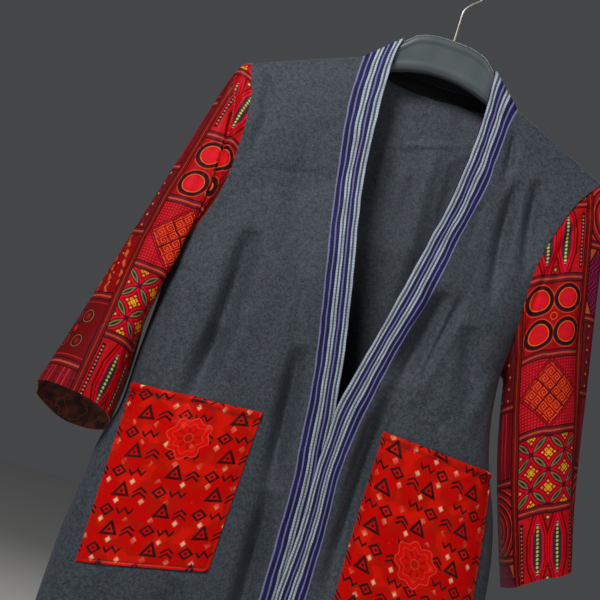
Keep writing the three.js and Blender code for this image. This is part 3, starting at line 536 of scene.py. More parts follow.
def front_grid(side):
    share = np.linspace(0, 1, GRID["front"] + 1)
    top_x = SIGN[side] * lerp(NECK_X, SHOULDER_X, share)
    z = panel_heights(top_x, ridge_height(top_x), HEM_Z)
    x = lerp(read_table(FRONT_SEAM[side], z), read_table(SIDE[side], z), share)
    return np.stack([x, -front_depth(side, x, z), z], axis=-1)


def back_grid():
    half = np.concatenate([
        np.linspace(0, NECK_X, GRID["back"] // 4, endpoint=False),
        np.linspace(NECK_X, SHOULDER_X, GRID["back"] // 4 + 1),
    ])
    top_x = np.concatenate([-half[:0:-1], half])
    top = back_top(top_x)
    hem = HEM_Z - BACK_HEM_DROP * (1 - (top_x / SHOULDER_X) ** 2)
    z = panel_heights(top_x, top, hem)
    x = top_x * side_at(np.broadcast_to(top_x, z.shape), z) / SHOULDER_X
    x[0] = top_x
    return np.stack([x, back_depth(top_x, x, z, top - z), z], axis=-1)


def front_band_grid(side):
    """Band down one front, from its seam to the folded edge, which stands higher at the neck"""
    share = np.linspace(0, 1, GRID["band"] + 1)
    seam_z = panel_heights(np.array([NECK_X]), np.array([NECK_Z]), HEM_Z)
    edge_z = seam_z + (BAND_TOP_Z - NECK_Z) * np.exp(-(NECK_Z - seam_z) / BAND_RISE_LENGTH)
    seam_x = read_table(FRONT_SEAM[side], seam_z)
    edge_x = read_table(BAND_EDGE[side], edge_z)
    x, z = lerp(seam_x, edge_x, share), lerp(seam_z, edge_z, share)
    return np.stack([x, -front_depth(side, x, z), z], axis=-1)


def back_band_grid():
    rows = np.array(BACK_NECKLINE, float)
    places, own = np.linspace(0, 1, NECKLINE_POINTS), np.linspace(0, 1, len(rows))
    mirrored = np.array([-1, 1, 1])
    seam, edge = (read_path(places, own, rows[:, columns]) for columns in (slice(0, 3), slice(3, 6)))
    seam, edge = (np.concatenate([half * mirrored, half[-2::-1]]) for half in (seam, edge))
    share = np.linspace(0, 1, GRID["band"] + 1)[:, None, None]
    return lerp(seam, edge, share)


def armhole_loop(side, turn):
    """Points of the armhole seam at shares of the way round it, from the shoulder down the front"""
    share = np.linspace(0, 1, ARMHOLE_SAMPLES["count"]) ** ARMHOLE_SAMPLES["power"]
    z = SHOULDER_Z - (SHOULDER_Z - UNDERARM_Z) * share
    front = np.stack([read_table(SIDE[side], z), -armhole_depth(z), z], axis=-1)
    loop = np.concatenate([front, front[-2::-1] * np.array([1, -1, 1])])
    lengths = travelled(loop)
    return read_path(turn, lengths / lengths[-1], loop)


def flattened(value):
    return np.sign(value) * np.abs(value) ** CUFF_FLATNESS


def sleeve_grid(side):
    """Rings from the armhole to the cuff; each starts at the underarm and runs up the front"""
    sign, cuff = SIGN[side], CUFF[side]
    turn = np.linspace(0.5, -0.5, SLEEVE_GRID["round"] + 1)
    start = armhole_loop(side, turn % 1)
    along = (np.linspace(0, 1, SLEEVE_GRID["rings"] + 1) ** SLEEVE_GRID["row_power"])[:, None]
    angle = 2 * math.pi * turn
    tilt = np.where(np.sin(angle) > 0, cuff["front_rise"], cuff["back_drop"])
    end = np.stack([
        cuff["x"] + sign * cuff["half_width"] * flattened(np.cos(angle)),
        -cuff["half_depth"] * flattened(np.sin(angle)),
        cuff["z"] + cuff["outer_rise"] * np.cos(angle) + tilt * np.sin(angle),
    ], axis=-1)
    grid = lerp(start, end, along[..., None])
    ease = (1 - along) * (1 - np.exp(-along / SLEEVE_HEAD["length"]))
    high = (1 + np.cos(angle)) / 2
    grid[..., 0] += sign * lerp(SLEEVE_HEAD["underarm_out"], SLEEVE_HEAD["out"], np.sqrt(high)) * ease
    grid[..., 2] += SLEEVE_HEAD["up"] * high * ease
    grid[..., 0] -= sign * cuff["bow"] * np.sin(math.pi * along) * (1 - high) ** 2
    return grid


def sleeve_coordinates(side, grid):
    """The flat cloth's own coordinates: v up the sleeve from the cuff, u round it from the top line"""
    cuff = CUFF[side]
    axis = np.array([SIGN[side] * SHOULDER_X - cuff["x"], 0, SHOULDER_Z - cuff["z"]], float)
    axis /= np.linalg.norm(axis)
    v = (grid - np.array([cuff["x"], 0, cuff["z"]])) @ axis
    levels = np.linspace(v.min(), v.max(), SLEEVE_GRID["levels"])
    columns = range(grid.shape[1])
    around = travelled(np.stack([read_path(levels, v[::-1, k], grid[::-1, k]) for k in columns]))
    around = around[grid.shape[1] // 2] - around
    u = np.stack([np.interp(v[:, k], levels, around[k]) for k in columns], axis=1)
    return u, v


# The camera comes first
def make_camera():
    azimuth, elevation, roll = (math.radians(CAMERA[turn]) for turn in ("azimuth", "elevation", "roll"))
    level = math.cos(elevation)
    back = Vector((math.sin(azimuth) * level, -math.cos(azimuth) * level, math.sin(elevation)))
    data = bpy.data.cameras.new("camera")
    data.sensor_width = CAMERA["sensor"]
    data.lens = CAMERA["focal_pixels"] * CAMERA["sensor"] / CAMERA["image_pixels"]
    camera = bpy.data.objects.new("camera", data)
    turned = back.to_track_quat("Z", "Y").to_matrix().to_4x4() @ Matrix.Rotation(roll, 4, "Z")
    camera.matrix_world = Matrix.Translation(Vector(CAMERA["target"]) + back * CAMERA["distance"]) @ turned
    bpy.context.scene.collection.objects.link(camera)
    bpy.context.scene.camera = camera


make_camera()


# Finishes: colours are 8-bit sRGB, and pattern sizes are millimetres
def linear(colour):
    return tuple(((c / 255 + 0.055) / 1.055) ** 2.4 if c > 10 else c / 255 / 12.92 for c in colour)


class Value:
    """A number that shader nodes work out, with the usual operators"""

    def __init__(self, tree, socket):
        self.tree, self.socket = tree, socket

    def math(self, operation, *others, clamp=False):
        node = self.tree.nodes.new("ShaderNodeMath")
        node.operation, node.use_clamp = operation, clamp
        for socket, value in zip(node.inputs, (self, *others)):
            if isinstance(value, Value):
                self.tree.links.new(value.socket, socket)
            else:
                socket.default_value = value
        return Value(self.tree, node.outputs[0])

    def __add__(self, other):
        return self.math("ADD", other)

    def __sub__(self, other):
        return self.math("SUBTRACT", other)

    def __rsub__(self, other):
        return self.math("MULTIPLY_ADD", -1, other)

    def __mul__(self, other):
        return self.math("MULTIPLY", other)

    def __abs__(self):
        return self.math("ABSOLUTE")

    def most(self, other):
        return self.math("MAXIMUM", other)

    def least(self, other):
        return self.math("MINIMUM", other)

    def wave(self, period):
        return (self * (2 * math.pi / period)).math("SINE")

    def cell(self, period):
        return (self * (1 / period)).math("FLOOR")

    def within(self, period):
        """Distance from the middle of the repeat that the value lies in"""
        return self.math("FLOORED_MODULO", period) - period / 2

    def away(self, other):
        """Length of the hypotenuse over this value and another"""
        return (self * self + other * other).math("SQRT")

    def under(self, limit, soft=0.6):
        """Mask of 1 where the value is below a limit, with a soft edge"""
        return self.math("MULTIPLY_ADD", -1 / soft, limit / soft + 0.5, clamp=True)

    def over(self, limit, soft=0.6):
        return self.math("MULTIPLY_ADD", 1 / soft, 0.5 - limit / soft, clamp=True)

    def near(self, centre, half, soft=0.6):
        return abs(self - centre).under(half, soft)


def mixed(mask, base, top):
    tree = mask.tree
    node = tree.nodes.new("ShaderNodeMix")
    node.data_type = "RGBA"
    tree.links.new(mask.socket, node.inputs[0])
    for socket, value in ((node.inputs[6], base), (node.inputs[7], top)):
        if isinstance(value, tuple):
            socket.default_value = (*linear(value), 1)
        else:
            tree.links.new(value, socket)
    return node.outputs[2]


def layered(base, *layers):
    """A colour with masked layers laid over it in turn"""
    for mask, top in layers:
        base = mixed(mask, base, top)
    return base


class Finish:
    """A procedural material; a printed one has all its noise in the flat cloth's own coordinates"""

    def __init__(self, name, printed=False, **sockets):
        self.material = bpy.data.materials.new(name)
        self.material.use_nodes = True
        self.tree = self.material.node_tree
        self.shader = self.tree.nodes["Principled BSDF"]
        for label, value in sockets.items():
            socket = self.shader.inputs[label.replace("_", " ")]
            socket.default_value = (*linear(value), 1) if isinstance(value, tuple) else value
        uv_map = self.tree.nodes.new("ShaderNodeUVMap")
        uv_map.uv_map = "UVMap"
        self.flat = uv_map.outputs["UV"]
        self.place = self.flat if printed else self.tree.nodes.new("ShaderNodeTexCoord").outputs["Object"]

    def flat_axes(self):
        """The two coordinates of the flat cloth, in millimetres"""
        split = self.tree.nodes.new("ShaderNodeSeparateXYZ")
        self.tree.links.new(self.flat, split.inputs[0])
        return [Value(self.tree, split.outputs[k]) * (1 / MM) for k in (0, 1)]

    def noise(self, size, detail=2.0, coordinates=None, stretch=None):
        """Noise from 0 to 1 with features of about the given size"""
        source = coordinates or self.place
        if stretch:
            mapping = self.tree.nodes.new("ShaderNodeMapping")
            mapping.inputs["Scale"].default_value = stretch
            self.tree.links.new(source, mapping.inputs["Vector"])
            source = mapping.outputs[0]
        node = self.tree.nodes.new("ShaderNodeTexNoise")
        node.inputs["Scale"].default_value = 1 / (size * MM)
        node.inputs["Detail"].default_value = detail
        self.tree.links.new(source, node.inputs["Vector"])
        return Value(self.tree, node.outputs[0])

    def finish(self, colour, roughness=None, relief=None):
        """Links the colour, and roughness and relief in millimetres where they vary"""
        self.tree.links.new(colour, self.shader.inputs["Base Color"])
        if roughness:
            self.tree.links.new(roughness.socket, self.shader.inputs["Roughness"])
        if relief:
            bump = self.tree.nodes.new("ShaderNodeBump")
            bump.inputs["Distance"].default_value = MM
            self.tree.links.new(relief.socket, bump.inputs["Height"])
            self.tree.links.new(bump.outputs[0], self.shader.inputs["Normal"])
        return self.material


def body_finish(name, painted_light_and_dark_neck=False):
    """Slate cloth with a fuzzy face and small dark flecks; on the back's inner face, painted light that makes
    it a little paler, and a black strip along the neck
    """
    made = Finish(name, Specular_IOR_Level=0.25, Sheen_Weight=0.12, Sheen_Roughness=0.5,
                  Sheen_Tint=(170, 185, 200))
    u, v = made.flat_axes()
    fleck, fuzz, cloud = made.noise(4.2, 3.0), made.noise(1.5, 2.0), made.noise(55, 2.0)
    tint = made.noise(11, 1.5)
    twill = (u + v * 0.6).wave(1.7) * u.wave(2.3)
    colour = layered(
        (59, 68, 75), (tint.over(0.5, 0.2) * 0.6, (60, 59, 71)), (cloud.over(0.5, 0.3) * 0.5, (50, 57, 64)),
        (fleck.under(0.42, 0.1) * 0.6, (36, 40, 46)), (fleck.over(0.58, 0.1) * 0.4, (80, 89, 95)),
        (fuzz.over(0.55, 0.15) * 0.35, (92, 99, 103)), (fuzz.under(0.43, 0.15) * 0.4, (38, 42, 48)),
    )
    if painted_light_and_dark_neck:
        # Painted light: a faint cloud mixed towards pale grey lightens the inner face where shade falls
        strip = (v + made.noise(34, 1.0, coordinates=made.flat) * 9).over(NECK_DARK_STRIP, 0.5)
        colour = layered(colour, (cloud * 0.1, (128, 136, 148)), (strip, (13, 13, 17)))
    relief = fuzz * 0.35 + fleck * 0.3 + twill * 0.05
    return made.finish(colour, fleck * 0.12 + 0.62, relief)


# Height of the black strip's lower edge from the back's top edge, on the inner face
NECK_DARK_STRIP = -12

# Woven stripes of the band: share of the width from the folded edge, half width, and yarn
BAND_STRIPES = [
    (0.125, 0.022, "gap"), (0.545, 0.024, "gap"), (0.055, 0.039, "white"), (0.19, 0.029, "white"),
    (0.485, 0.031, "white"), (0.605, 0.034, "white"), (0.355, 0.026, "lilac"), (0.785, 0.025, "lilac"),
    (0.972, 0.03, "lilac"),
]
YARN = {"navy": (18, 15, 72), "gap": (74, 84, 92), "white": (198, 208, 218), "lilac": (132, 132, 180)}
BAND_WIDTH = 36


def band_finish():
    """Handwoven navy band with white and lilac cords, a little uneven"""
    made = Finish("band_cloth", True, Roughness=0.72, Specular_IOR_Level=0.25)
    u, v = made.flat_axes()
    drift = made.noise(34, 1.5) - 0.5
    across = (u + drift * 3.2) * (1 / BAND_WIDTH)
    beat = (v + u * 0.9).wave(2.6)
    worn, thread = made.noise(7, 2.0, stretch=(1, 0.25, 1)), made.noise(1.4, 1.0)
    layers = [((beat * 0.5 + 0.5) * 0.6, (11, 10, 36)), (worn.over(0.52, 0.2) * 0.4, (40, 36, 108))]
    cords = None
    for centre, half, yarn in BAND_STRIPES:
        mask = across.near(centre, half, 0.02)
        layers.append((mask, YARN[yarn]))
        if yarn != "gap":
            cords = cords.most(mask) if cords else mask
    knots = (v - u * 0.8).wave(3.4)
    layers.append((cords * (knots * 0.5 + 0.5) * 0.32, (92, 98, 118)))
    layers.append((cords * worn.under(0.45, 0.2) * 0.45, (104, 110, 128)))
    layers.append((thread.under(0.42, 0.2) * 0.35, (20, 20, 40)))
    relief = cords * (knots * 0.12 + 0.45) + thread * 0.2 + beat * 0.06
    return made.finish(layered(YARN["navy"], *layers), relief=relief)


def band_reverse_finish():
    """Inner face of the neck band, dark and plain"""
    made = Finish("band_reverse", Roughness=0.85)
    fuzz, thread = made.noise(3, 2.0), made.noise(1.2, 1.0)
    colour = layered(
        (17, 18, 26), (fuzz.over(0.5, 0.3) * 0.5, (26, 28, 40)), (thread.under(0.42, 0.2) * 0.5, (9, 9, 14)),
    )
    return made.finish(colour, relief=fuzz * 0.2 + thread * 0.15)


# The sleeve print: a wide and a side column of framed panels, repeated round the sleeve
PRINT = {"period": 154, "main": 40, "side": 117, "frame": 4.2}
PANEL = {"start": 87, "pitch": 87.5, "side_lag": 47, "bar": 4.4}
RED, CRIMSON, DEEP, PINK = (214, 10, 8), (172, 4, 10), (116, 5, 5), (230, 6, 50)
MAROON, INK, ORANGE = (108, 22, 16), (30, 12, 14), (236, 98, 34)
OLIVE, YELLOW, LIME = (92, 92, 56), (236, 180, 24), (204, 200, 104)


def spindles(x, y):
    """Dotted lozenges side by side, scalloped outlines and triangles between their tips"""
    centre = abs(x) - 11.5
    reach = abs(centre) + (abs(y) - 14).most(0) * 0.3
    scallop = reach + y.wave(3) * 0.35
    dot = centre.away(y.within(4.4)).under(1.55) * abs(y).under(28)
    strip = abs(x).near(31, 2.2) * abs(y).under(33)
    strip_dot = (abs(x) - 31).away(y.within(4.4)).under(1.2) * abs(y).under(31)
    tip = x.away(abs(y) - 34)
    return layered(
        DEEP, (scallop.near(10.2, 1.1), RED), (reach.over(13.2), (198, 20, 26)),
        (reach.near(13.2, 0.5), (96, 10, 14)), (scallop.near(8.5, 0.5), (84, 8, 14)),
        (reach.under(8.1), PINK), (reach.near(5.3, 0.7), (148, 24, 48)), (reach.under(5), (54, 46, 48)),
        (dot, LIME), (strip, INK), (strip_dot, (214, 112, 84)), (tip.under(3.2), (120, 12, 20)),
        (tip.under(1.6), LIME),
    )


def petals(x, y):
    """Pointed petals along a slanting lattice, with a small cross in each of its cells"""
    edge, bow, turned = 28, 0.026, math.sqrt(0.5)
    p, q = (x + y) * turned, (x - y) * turned
    along_p, along_q = p.within(edge), q.within(edge)
    off_p, off_q = (p + edge / 2).within(edge), (q + edge / 2).within(edge)
    almond = abs(off_q) + along_p * along_p * bow
    almond = almond.least(abs(off_p) + along_q * along_q * bow)
    square = abs(along_p).most(abs(along_q))
    arm = abs(along_p).least(abs(along_q))
    level, upright = (along_p + along_q) * turned, (along_p - along_q) * turned
    pip = (abs(level).most(abs(upright)) - 6.9).away(abs(level).least(abs(upright))).under(1.3)
    return layered(
        CRIMSON, (square.near(8.2, 0.5), (110, 10, 20)), (almond.near(5.6, 0.8), PINK),
        (square.under(5.3) * arm.under(1.8), YELLOW), (square.near(3.1, 0.7) * arm.under(0.7), (60, 30, 20)),
        (pip, (222, 170, 92)), (almond.under(3.7), INK), (almond.under(2.7), (150, 138, 84)),
        (almond.under(1.9), OLIVE), (almond.under(0.9), (30, 24, 18)),
        (off_p.away(off_q).under(2.8, 1.2), (58, 22, 40)),
    )


def frets(x, y):
    """A diamond of small square spirals between dotted corners"""
    rim = abs(x) * (1 / 33) + abs(y) * (1 / 37)
    p, q = x * 0.74 + y * 0.67, x * 0.74 - y * 0.67
    m, n = p.within(10.6), q.within(10.6)
    ring = abs(m).most(abs(n))
    turn = n.math("ARCTAN2", m) * (1 / (2 * math.pi))
    line = (ring * (1 / 2.65) - turn).within(1).near(0, 0.21, 0.12) * ring.under(4.9)
    cross = abs(p).least(abs(q)).under(0.9)
    speck = x.within(3.6).away(y.within(3.6)).under(0.95)
    diamond = rim.under(1, 0.02)
    return layered(
        (180, 8, 28), (speck, (222, 46, 48)), (rim.near(1.09, 0.022, 0.02), (92, 10, 18)),
        (diamond, (160, 10, 8)), (line * rim.under(0.97, 0.02), (238, 84, 40)),
        (rim.near(1.0, 0.018, 0.02), (64, 12, 14)), (cross * diamond, (70, 14, 14)),
    )


def rings(x, y):
    """Four banded rings, two by two"""
    r = (abs(x) - 17).away(abs(y) - 19.5)
    between = x.away(y)
    shine = r * 0.07
    return layered(
        (176, 14, 14), (r.near(17.6, 0.45), (206, 84, 40)), (between.near(4, 0.5), ORANGE),
        (abs(x).near(33, 0.6), (88, 14, 18)), (r.under(16.6), (30, 16, 22)), (r.under(12.2), (236, 108, 44)),
        (r.under(11.2), (218, 24, 22)), (shine.under(0.42, 0.5) * 0.6, (232, 22, 56)),
    )


def scrolls(x, y):
    """Paired curls round a small red diamond, with lines above and below"""
    hook = (abs(x) - 12).away(abs(y) - 16)
    stem = abs(abs(x) - abs(y) * 0.42)
    diamond = abs(x) * 1.3 + abs(y) * 0.8
    line = abs(y).within(4.6)
    return layered(
        (112, 14, 16), (stem.near(0, 1.6) * abs(y).under(26), (38, 24, 24)),
        (hook.near(7.6, 2.0), (40, 26, 26)), (hook.near(7.6, 0.5), (190, 92, 50)),
        (hook.under(3.4), (150, 30, 30)), (diamond.under(6.5), (34, 20, 22)),
        (diamond.under(4.8), (214, 34, 28)), (line.near(0, 0.6) * abs(y).over(31), (186, 40, 34)),
    )


def flecks(x, y):
    """Slanting orange flecks in rows, with dots between"""
    lean = (x + y * 0.25).within(17)
    step = (y + x.cell(17) * 6).within(13)
    fleck = (lean + y.wave(9) * 0.8).away(step * 0.5)
    dot = ((x + 8.5).within(17)).away((y + 6.5).within(13))
    return layered((140, 12, 16), (fleck.under(2.3, 1.4), (206, 92, 40)), (dot.under(1.1), (214, 150, 96)))


def paired_dots(x, y):
    """Pairs of dots down a dark column with faint curls"""
    dot = (abs(x.within(33)) - 7).away(y.within(14))
    curl = (x + y.wave(14) * 3).within(14)
    return layered(
        (108, 20, 26), (curl.near(0, 0.9), (142, 22, 40)), (dot.under(1.3), (222, 150, 96)),
        (abs(x).near(30, 1.2), (92, 34, 30)),
    )


def stripes(x, y):
    """Thin lines down the column"""
    line = (x + y.wave(61) * 0.7).within(6.4)
    return layered(
        (134, 16, 26), (line.near(0, 0.7), (196, 52, 60)), (x.within(19.2).near(0, 1.3), (88, 24, 28)),
    )


def zigzag(x, y):
    """Violet steps between orange corner triangles"""
    step = (x + abs(y.within(24)) * 1.1).within(6.2)
    corner = abs(x) + abs(y) * 0.55
    return layered(
        (92, 18, 48), (step.near(0, 0.9), (166, 38, 86)), (corner.over(42, 1), (44, 20, 26)),
        (corner.over(44.5, 1), (210, 92, 42)),
    )


def arcs(x, y):
    """Concentric arcs"""
    r = x.away(y + 8)
    band = r.within(8.4)
    return layered((176, 18, 34), (band.near(0, 1.4), (70, 20, 26)), (band.near(2.6, 0.6), (214, 84, 48)))


MAIN_PANELS = [spindles, petals, frets, rings]
SIDE_PANELS = {
    "left": [stripes, scrolls, flecks, paired_dots], "right": [zigzag, arcs, stripes, paired_dots],
}


def pick(choices, up, x):
    """The patterns of a column in turn, one in each panel"""
    y = up.within(PANEL["pitch"])
    number = (up.cell(PANEL["pitch"]) + 1).math("FLOORED_MODULO", len(choices))
    colour = choices[0](x, y)
    for k, choice in enumerate(choices[1:], 1):
        colour = mixed(number.near(k, 0.5, 0.01), colour, choice(x, y))
    return colour


def sleeve_finish(side):
    """Satin print of framed panels in reds, with bars between them that have a painted highlight down the
    middle
    """
    made = Finish(f"sleeve_print_{side}", True, Specular_IOR_Level=0.14, Specular_Tint=(255, 150, 170))
    u, v = made.flat_axes()
    wobble = made.noise(34, 1.0) - 0.5
    across = (u + wobble * 1.5).math("FLOORED_MODULO", PRINT["period"])
    aside = across.over(PRINT["main"] * 2, 0.3)
    up = v + wobble * 1.2 - PANEL["start"]
    lagging = up + PANEL["side_lag"]
    main = pick(MAIN_PANELS, up, across - PRINT["main"])
    beside = pick(SIDE_PANELS[side], lagging, across - PRINT["side"])
    from_bar = abs(up.within(PANEL["pitch"])) * (1 - aside) + abs(lagging.within(PANEL["pitch"])) * aside
    bar = PANEL["pitch"] / 2 - from_bar
    frame = across.least(abs(across - PRINT["main"] * 2)).least((across - PRINT["period"]) * -1)
    tone, cloud = made.noise(5, 2.0), made.noise(30, 1.0)
    colour = layered(
        main, (aside, beside), (bar.under(PANEL["bar"] + 1.0), (40, 12, 18)),
        # The pale line down the middle of each bar is a painted highlight
        (bar.under(PANEL["bar"] - 0.4), (112, 24, 32)), (bar.under(1.2), (196, 74, 52)),
        (frame.under(PRINT["frame"] + 1.0), INK), (frame.under(PRINT["frame"] - 0.2), MAROON),
        (frame.under(0.7), (176, 44, 34)), (cloud.over(0.52, 0.25) * 0.22, (96, 8, 10)),
        (tone.under(0.4, 0.2) * 0.25, (70, 8, 10)),
    )
    relief = made.noise(1.3, 1.0) * 0.16 + (u.wave(1.9) * v.wave(1.9)) * 0.03
    return made.finish(colour, cloud * 0.14 + 0.42, relief)


def sleeve_reverse_finish():
    """Back of the print, where the colours show through dark and dull"""
    made = Finish("sleeve_reverse", Roughness=0.75)
    blot, fine = made.noise(12, 2.0), made.noise(1.5, 1.0)
    curl = abs(made.noise(26, 2.0) - 0.5)
    colour = layered(
        (84, 38, 26), (blot.over(0.55, 0.12) * 0.7, (132, 54, 34)),
        (blot.under(0.42, 0.1) * 0.8, (34, 18, 16)), (curl.under(0.02, 0.02) * 0.6, (160, 74, 40)),
        (fine.under(0.42, 0.2) * 0.4, (30, 16, 14)),
    )
    return made.finish(colour, relief=fine * 0.2)


# Scattered marks of the pocket print, and the rosette in the middle of each pocket
MARKS = {"width": 20, "height": 22, "scale": 0.7, "gap": 27, "lean": 0.16}
ROSETTE = {"left": {"middle": (69, -46), "radius": 26}, "right": {"middle": (77, -126), "radius": 27}}


def steps_mark(x, y):
    return abs(y - abs(x.within(7)) * 1.3 + 2.3).under(1.25, 0.6) * abs(x).under(6.4)


def lozenge_mark(x, y):
    reach = abs(x) + abs(y) * 1.15
    return reach.near(4.9, 1.25, 0.6).most(reach.under(1.5))


def chevron_mark(x, y):
    height = y + abs(x) * 0.75
    return height.near(-0.6, 0.95, 0.5).most(height.near(3.2, 0.95, 0.5)) * abs(x).under(5)


def triangle_mark(x, y):
    reach = (abs(x) * 0.87 + y * 0.5).most(y * -1)
    return reach.near(3.2, 1.05, 0.6).most(x.away(y).under(1.1))


def pocket_finish(side):
    """Red satin with small dark marks, pale diamonds and a tonal rosette"""
    made = Finish(f"pocket_satin_{side}", True, Specular_IOR_Level=0.22, Specular_Tint=(255, 150, 130))
    u, v = made.flat_axes()
    shift = made.noise(60, 1.0) - 0.5
    u, v = u + shift * 4, v + u * MARKS["lean"]
    row = v.cell(MARKS["height"])
    slid = u + row.math("FLOORED_MODULO", 2) * (MARKS["width"] / 2)
    x, y = slid.within(MARKS["width"]) * MARKS["scale"], v.within(MARKS["height"]) * MARKS["scale"]
    kind = (slid.cell(MARKS["width"]) + row * 2 + row.cell(2)).math("FLOORED_MODULO", 5)
    marks = None
    for k, mark in enumerate((steps_mark, lozenge_mark, chevron_mark, triangle_mark)):
        shown = mark(x, y) * kind.near(k, 0.5, 0.01)
        marks = marks.most(shown) if marks else shown
    between = v + MARKS["height"] / 2
    gap_x = (u + between.cell(MARKS["height"]) * 11).within(MARKS["gap"])
    diamond = abs(gap_x) * 1.15 + abs(between.within(MARKS["height"]))
    seen = made.noise(16, 0.0)
    middle, radius = ROSETTE[side]["middle"], ROSETTE[side]["radius"]
    dx, dy = u - middle[0], v - (middle[1] + middle[0] * MARKS["lean"])
    reach = dx.away(dy)
    turn = dy.math("ARCTAN2", dx)
    lobe = (turn * 8).math("SINE")
    rim = reach - lobe * 2.2 - (turn * 3).math("SINE") * 1.2
    cloud, tone = made.noise(30, 1.0), made.noise(9, 1.0)
    colour = layered(
        (206, 8, 6), (cloud.over(0.5, 0.06) * 0.8, (184, 26, 8)),
        (cloud.over(0.58, 0.06) * 0.8, (232, 22, 10)),
        (diamond.under(4.2, 1.2) * seen.over(0.42, 0.16), (228, 108, 78)),
        (diamond.under(3.0, 1.4) * seen.over(0.56, 0.1), (248, 192, 150)),
        (marks * 0.96, (34, 12, 14)), (marks * tone.over(0.52, 0.12) * 0.5, (74, 34, 40)),
        (rim.under(radius - 4, 0.8) * 0.9, (230, 16, 8)), (rim.near(radius - 4, 0.45), (236, 76, 56)),
        (rim.near(radius * 0.6, 0.5), (236, 58, 42)),
        (rim.under(radius * 0.57) * lobe.under(-0.3, 0.3), (186, 18, 8)),
        (reach.under(5), (186, 24, 8)), (reach.near(5, 0.4), (236, 66, 48)),
    )
    relief = made.noise(1.2, 1.0) * 0.12 + tone * 0.5
    return made.finish(colour, tone * 0.16 + 0.3, relief)


def hanger_finish():
    """Moulded grey plastic with a faint flow in its tone"""
    made = Finish("hanger_plastic", Coat_Weight=0.5, Coat_Roughness=0.25)
    cloud, grain = made.noise(28, 1.5), made.noise(1.6, 1.0)
    colour = layered(
        (76, 84, 88), (cloud.over(0.5, 0.3) * 0.6, (82, 87, 91)),
        (cloud.under(0.42, 0.2) * 0.6, (68, 80, 80)),
    )
    return made.finish(colour, cloud * 0.15 + 0.36, grain * 0.06)


def wire_finish():
    """Bright steel wire, drawn lengthwise and a little dull"""
    made = Finish("hook_wire", Metallic=0.9)
    drawn, cloud = made.noise(0.8, 1.0, stretch=(1, 1, 0.08)), made.noise(9, 1.0)
    colour = layered((150, 147, 140), (cloud.over(0.52, 0.2) * 0.5, (120, 117, 110)))
    return made.finish(colour, drawn * 0.2 + 0.26, drawn * 0.03)


def thread_finish(name, colour, shade):
    """Twisted sewing thread"""
    made = Finish(name, Roughness=0.6, Sheen_Weight=0.2)
    twist = made.noise(0.9, 1.0)
    return made.finish(layered(colour, (twist.under(0.48, 0.2) * 0.7, shade)), relief=twist * 0.1)


def floor_finish():
    made = Finish("floor", Roughness=0.8)
    cloud, grain = made.noise(700, 2.0), made.noise(6, 1.0)
    return made.finish(layered(
        (226, 224, 220), (cloud.over(0.5, 0.4) * 0.4, (218, 216, 212)),
        (grain.over(0.6, 0.2) * 0.1, (206, 204, 200)),
    ))


def attach(piece, nodes):
    """Every piece rides on the one body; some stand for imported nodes"""
    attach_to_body(piece, "root")
    if nodes:
        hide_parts(*nodes)


def add_sheet(node, outer, inner, uv, materials):
    """Cloth piece that stands for the node of its name; a sleeve's grid is a closed ring"""
    kind = node.split("_")[0]
    piece = add_shell(f"{node}_cloth", outer, inner, uv, materials, ring=kind == "sleeve")
    attach(piece, (node,))


def add_tubes(name, tubes, material):
    """Closed bodies with flat ends, joined in one mesh; each has its own rings of points"""
    bodies, sections, count = tubes.shape[:3]
    faces = []
    for first in range(0, bodies * sections * count, sections * count):
        last = first + (sections - 1) * count
        for row in range(first, last, count):
            faces += [(row + k, row + (k + 1) % count, row + count + (k + 1) % count, row + count + k)
                      for k in range(count)]
        faces += [tuple(range(first, first + count))[::-1], tuple(range(last, last + count))]
    return add_mesh(name, tubes.reshape(-1, 3), faces, [material])


def sew(name, lines, material):
    """Rows of short raised stitches, joined in one mesh; each line is its points and outward normals"""
    shares = np.linspace(0, 1, STITCH["sections"])
    radius = STITCH["radius"] * np.sin(math.pi * lerp(STITCH["blunt"], 1 - STITCH["blunt"], shares)) ** 0.6
    stitches = []
    for path, normals in lines:
        lengths = travelled(path)
        starts = np.arange(STITCH["pitch"] / 2, lengths[-1] - STITCH["length"], STITCH["pitch"])
        at = starts[:, None] + shares * STITCH["length"]
        spot, out = read_path(at, lengths, path), read_path(at, lengths, normals)
        run = spot[:, -1:] - spot[:, :1]
        run = run / np.linalg.norm(run, axis=-1, keepdims=True)
        beside = np.cross(out, run)
        ring = [
            spot + out * STITCH["lift"]
            + (beside * math.cos(angle) + out * math.sin(angle)) * radius[:, None]
            for angle in np.linspace(0, 2 * math.pi, STITCH["sides"], endpoint=False)
        ]
        stitches.append(np.stack(ring, axis=2))
    attach(add_tubes(name, np.concatenate(stitches), material), ())


def hem_line(grid, normals, height):
    """Points and normals across a grid at a height above its lowest row, measured up each column"""
    rows = np.abs(travelled(grid[::-1])[::-1] - height).argmin(axis=0)
    columns = np.arange(grid.shape[1])
    return grid[rows, columns], normals[rows, columns]


BODY = body_finish("body_cloth")
# The back's inner face: the same cloth with painted light that makes it a little paler, and a black strip
# along the neck
BACK_INSIDE = body_finish("back_inside", painted_light_and_dark_neck=True)
BAND, BAND_REVERSE = band_finish(), band_reverse_finish()
SLEEVE = {side: sleeve_finish(side) for side in SIGN}
SLEEVE_REVERSE = sleeve_reverse_finish()
POCKET = {side: pocket_finish(side) for side in SIGN}
THREAD = {
    "body": thread_finish("body_thread", (34, 38, 44), (20, 22, 27)),
    "sleeve": thread_finish("sleeve_thread", (120, 16, 20), (62, 8, 12)),
    "pocket": thread_finish("pocket_thread", (56, 4, 4), (26, 3, 3)),
}


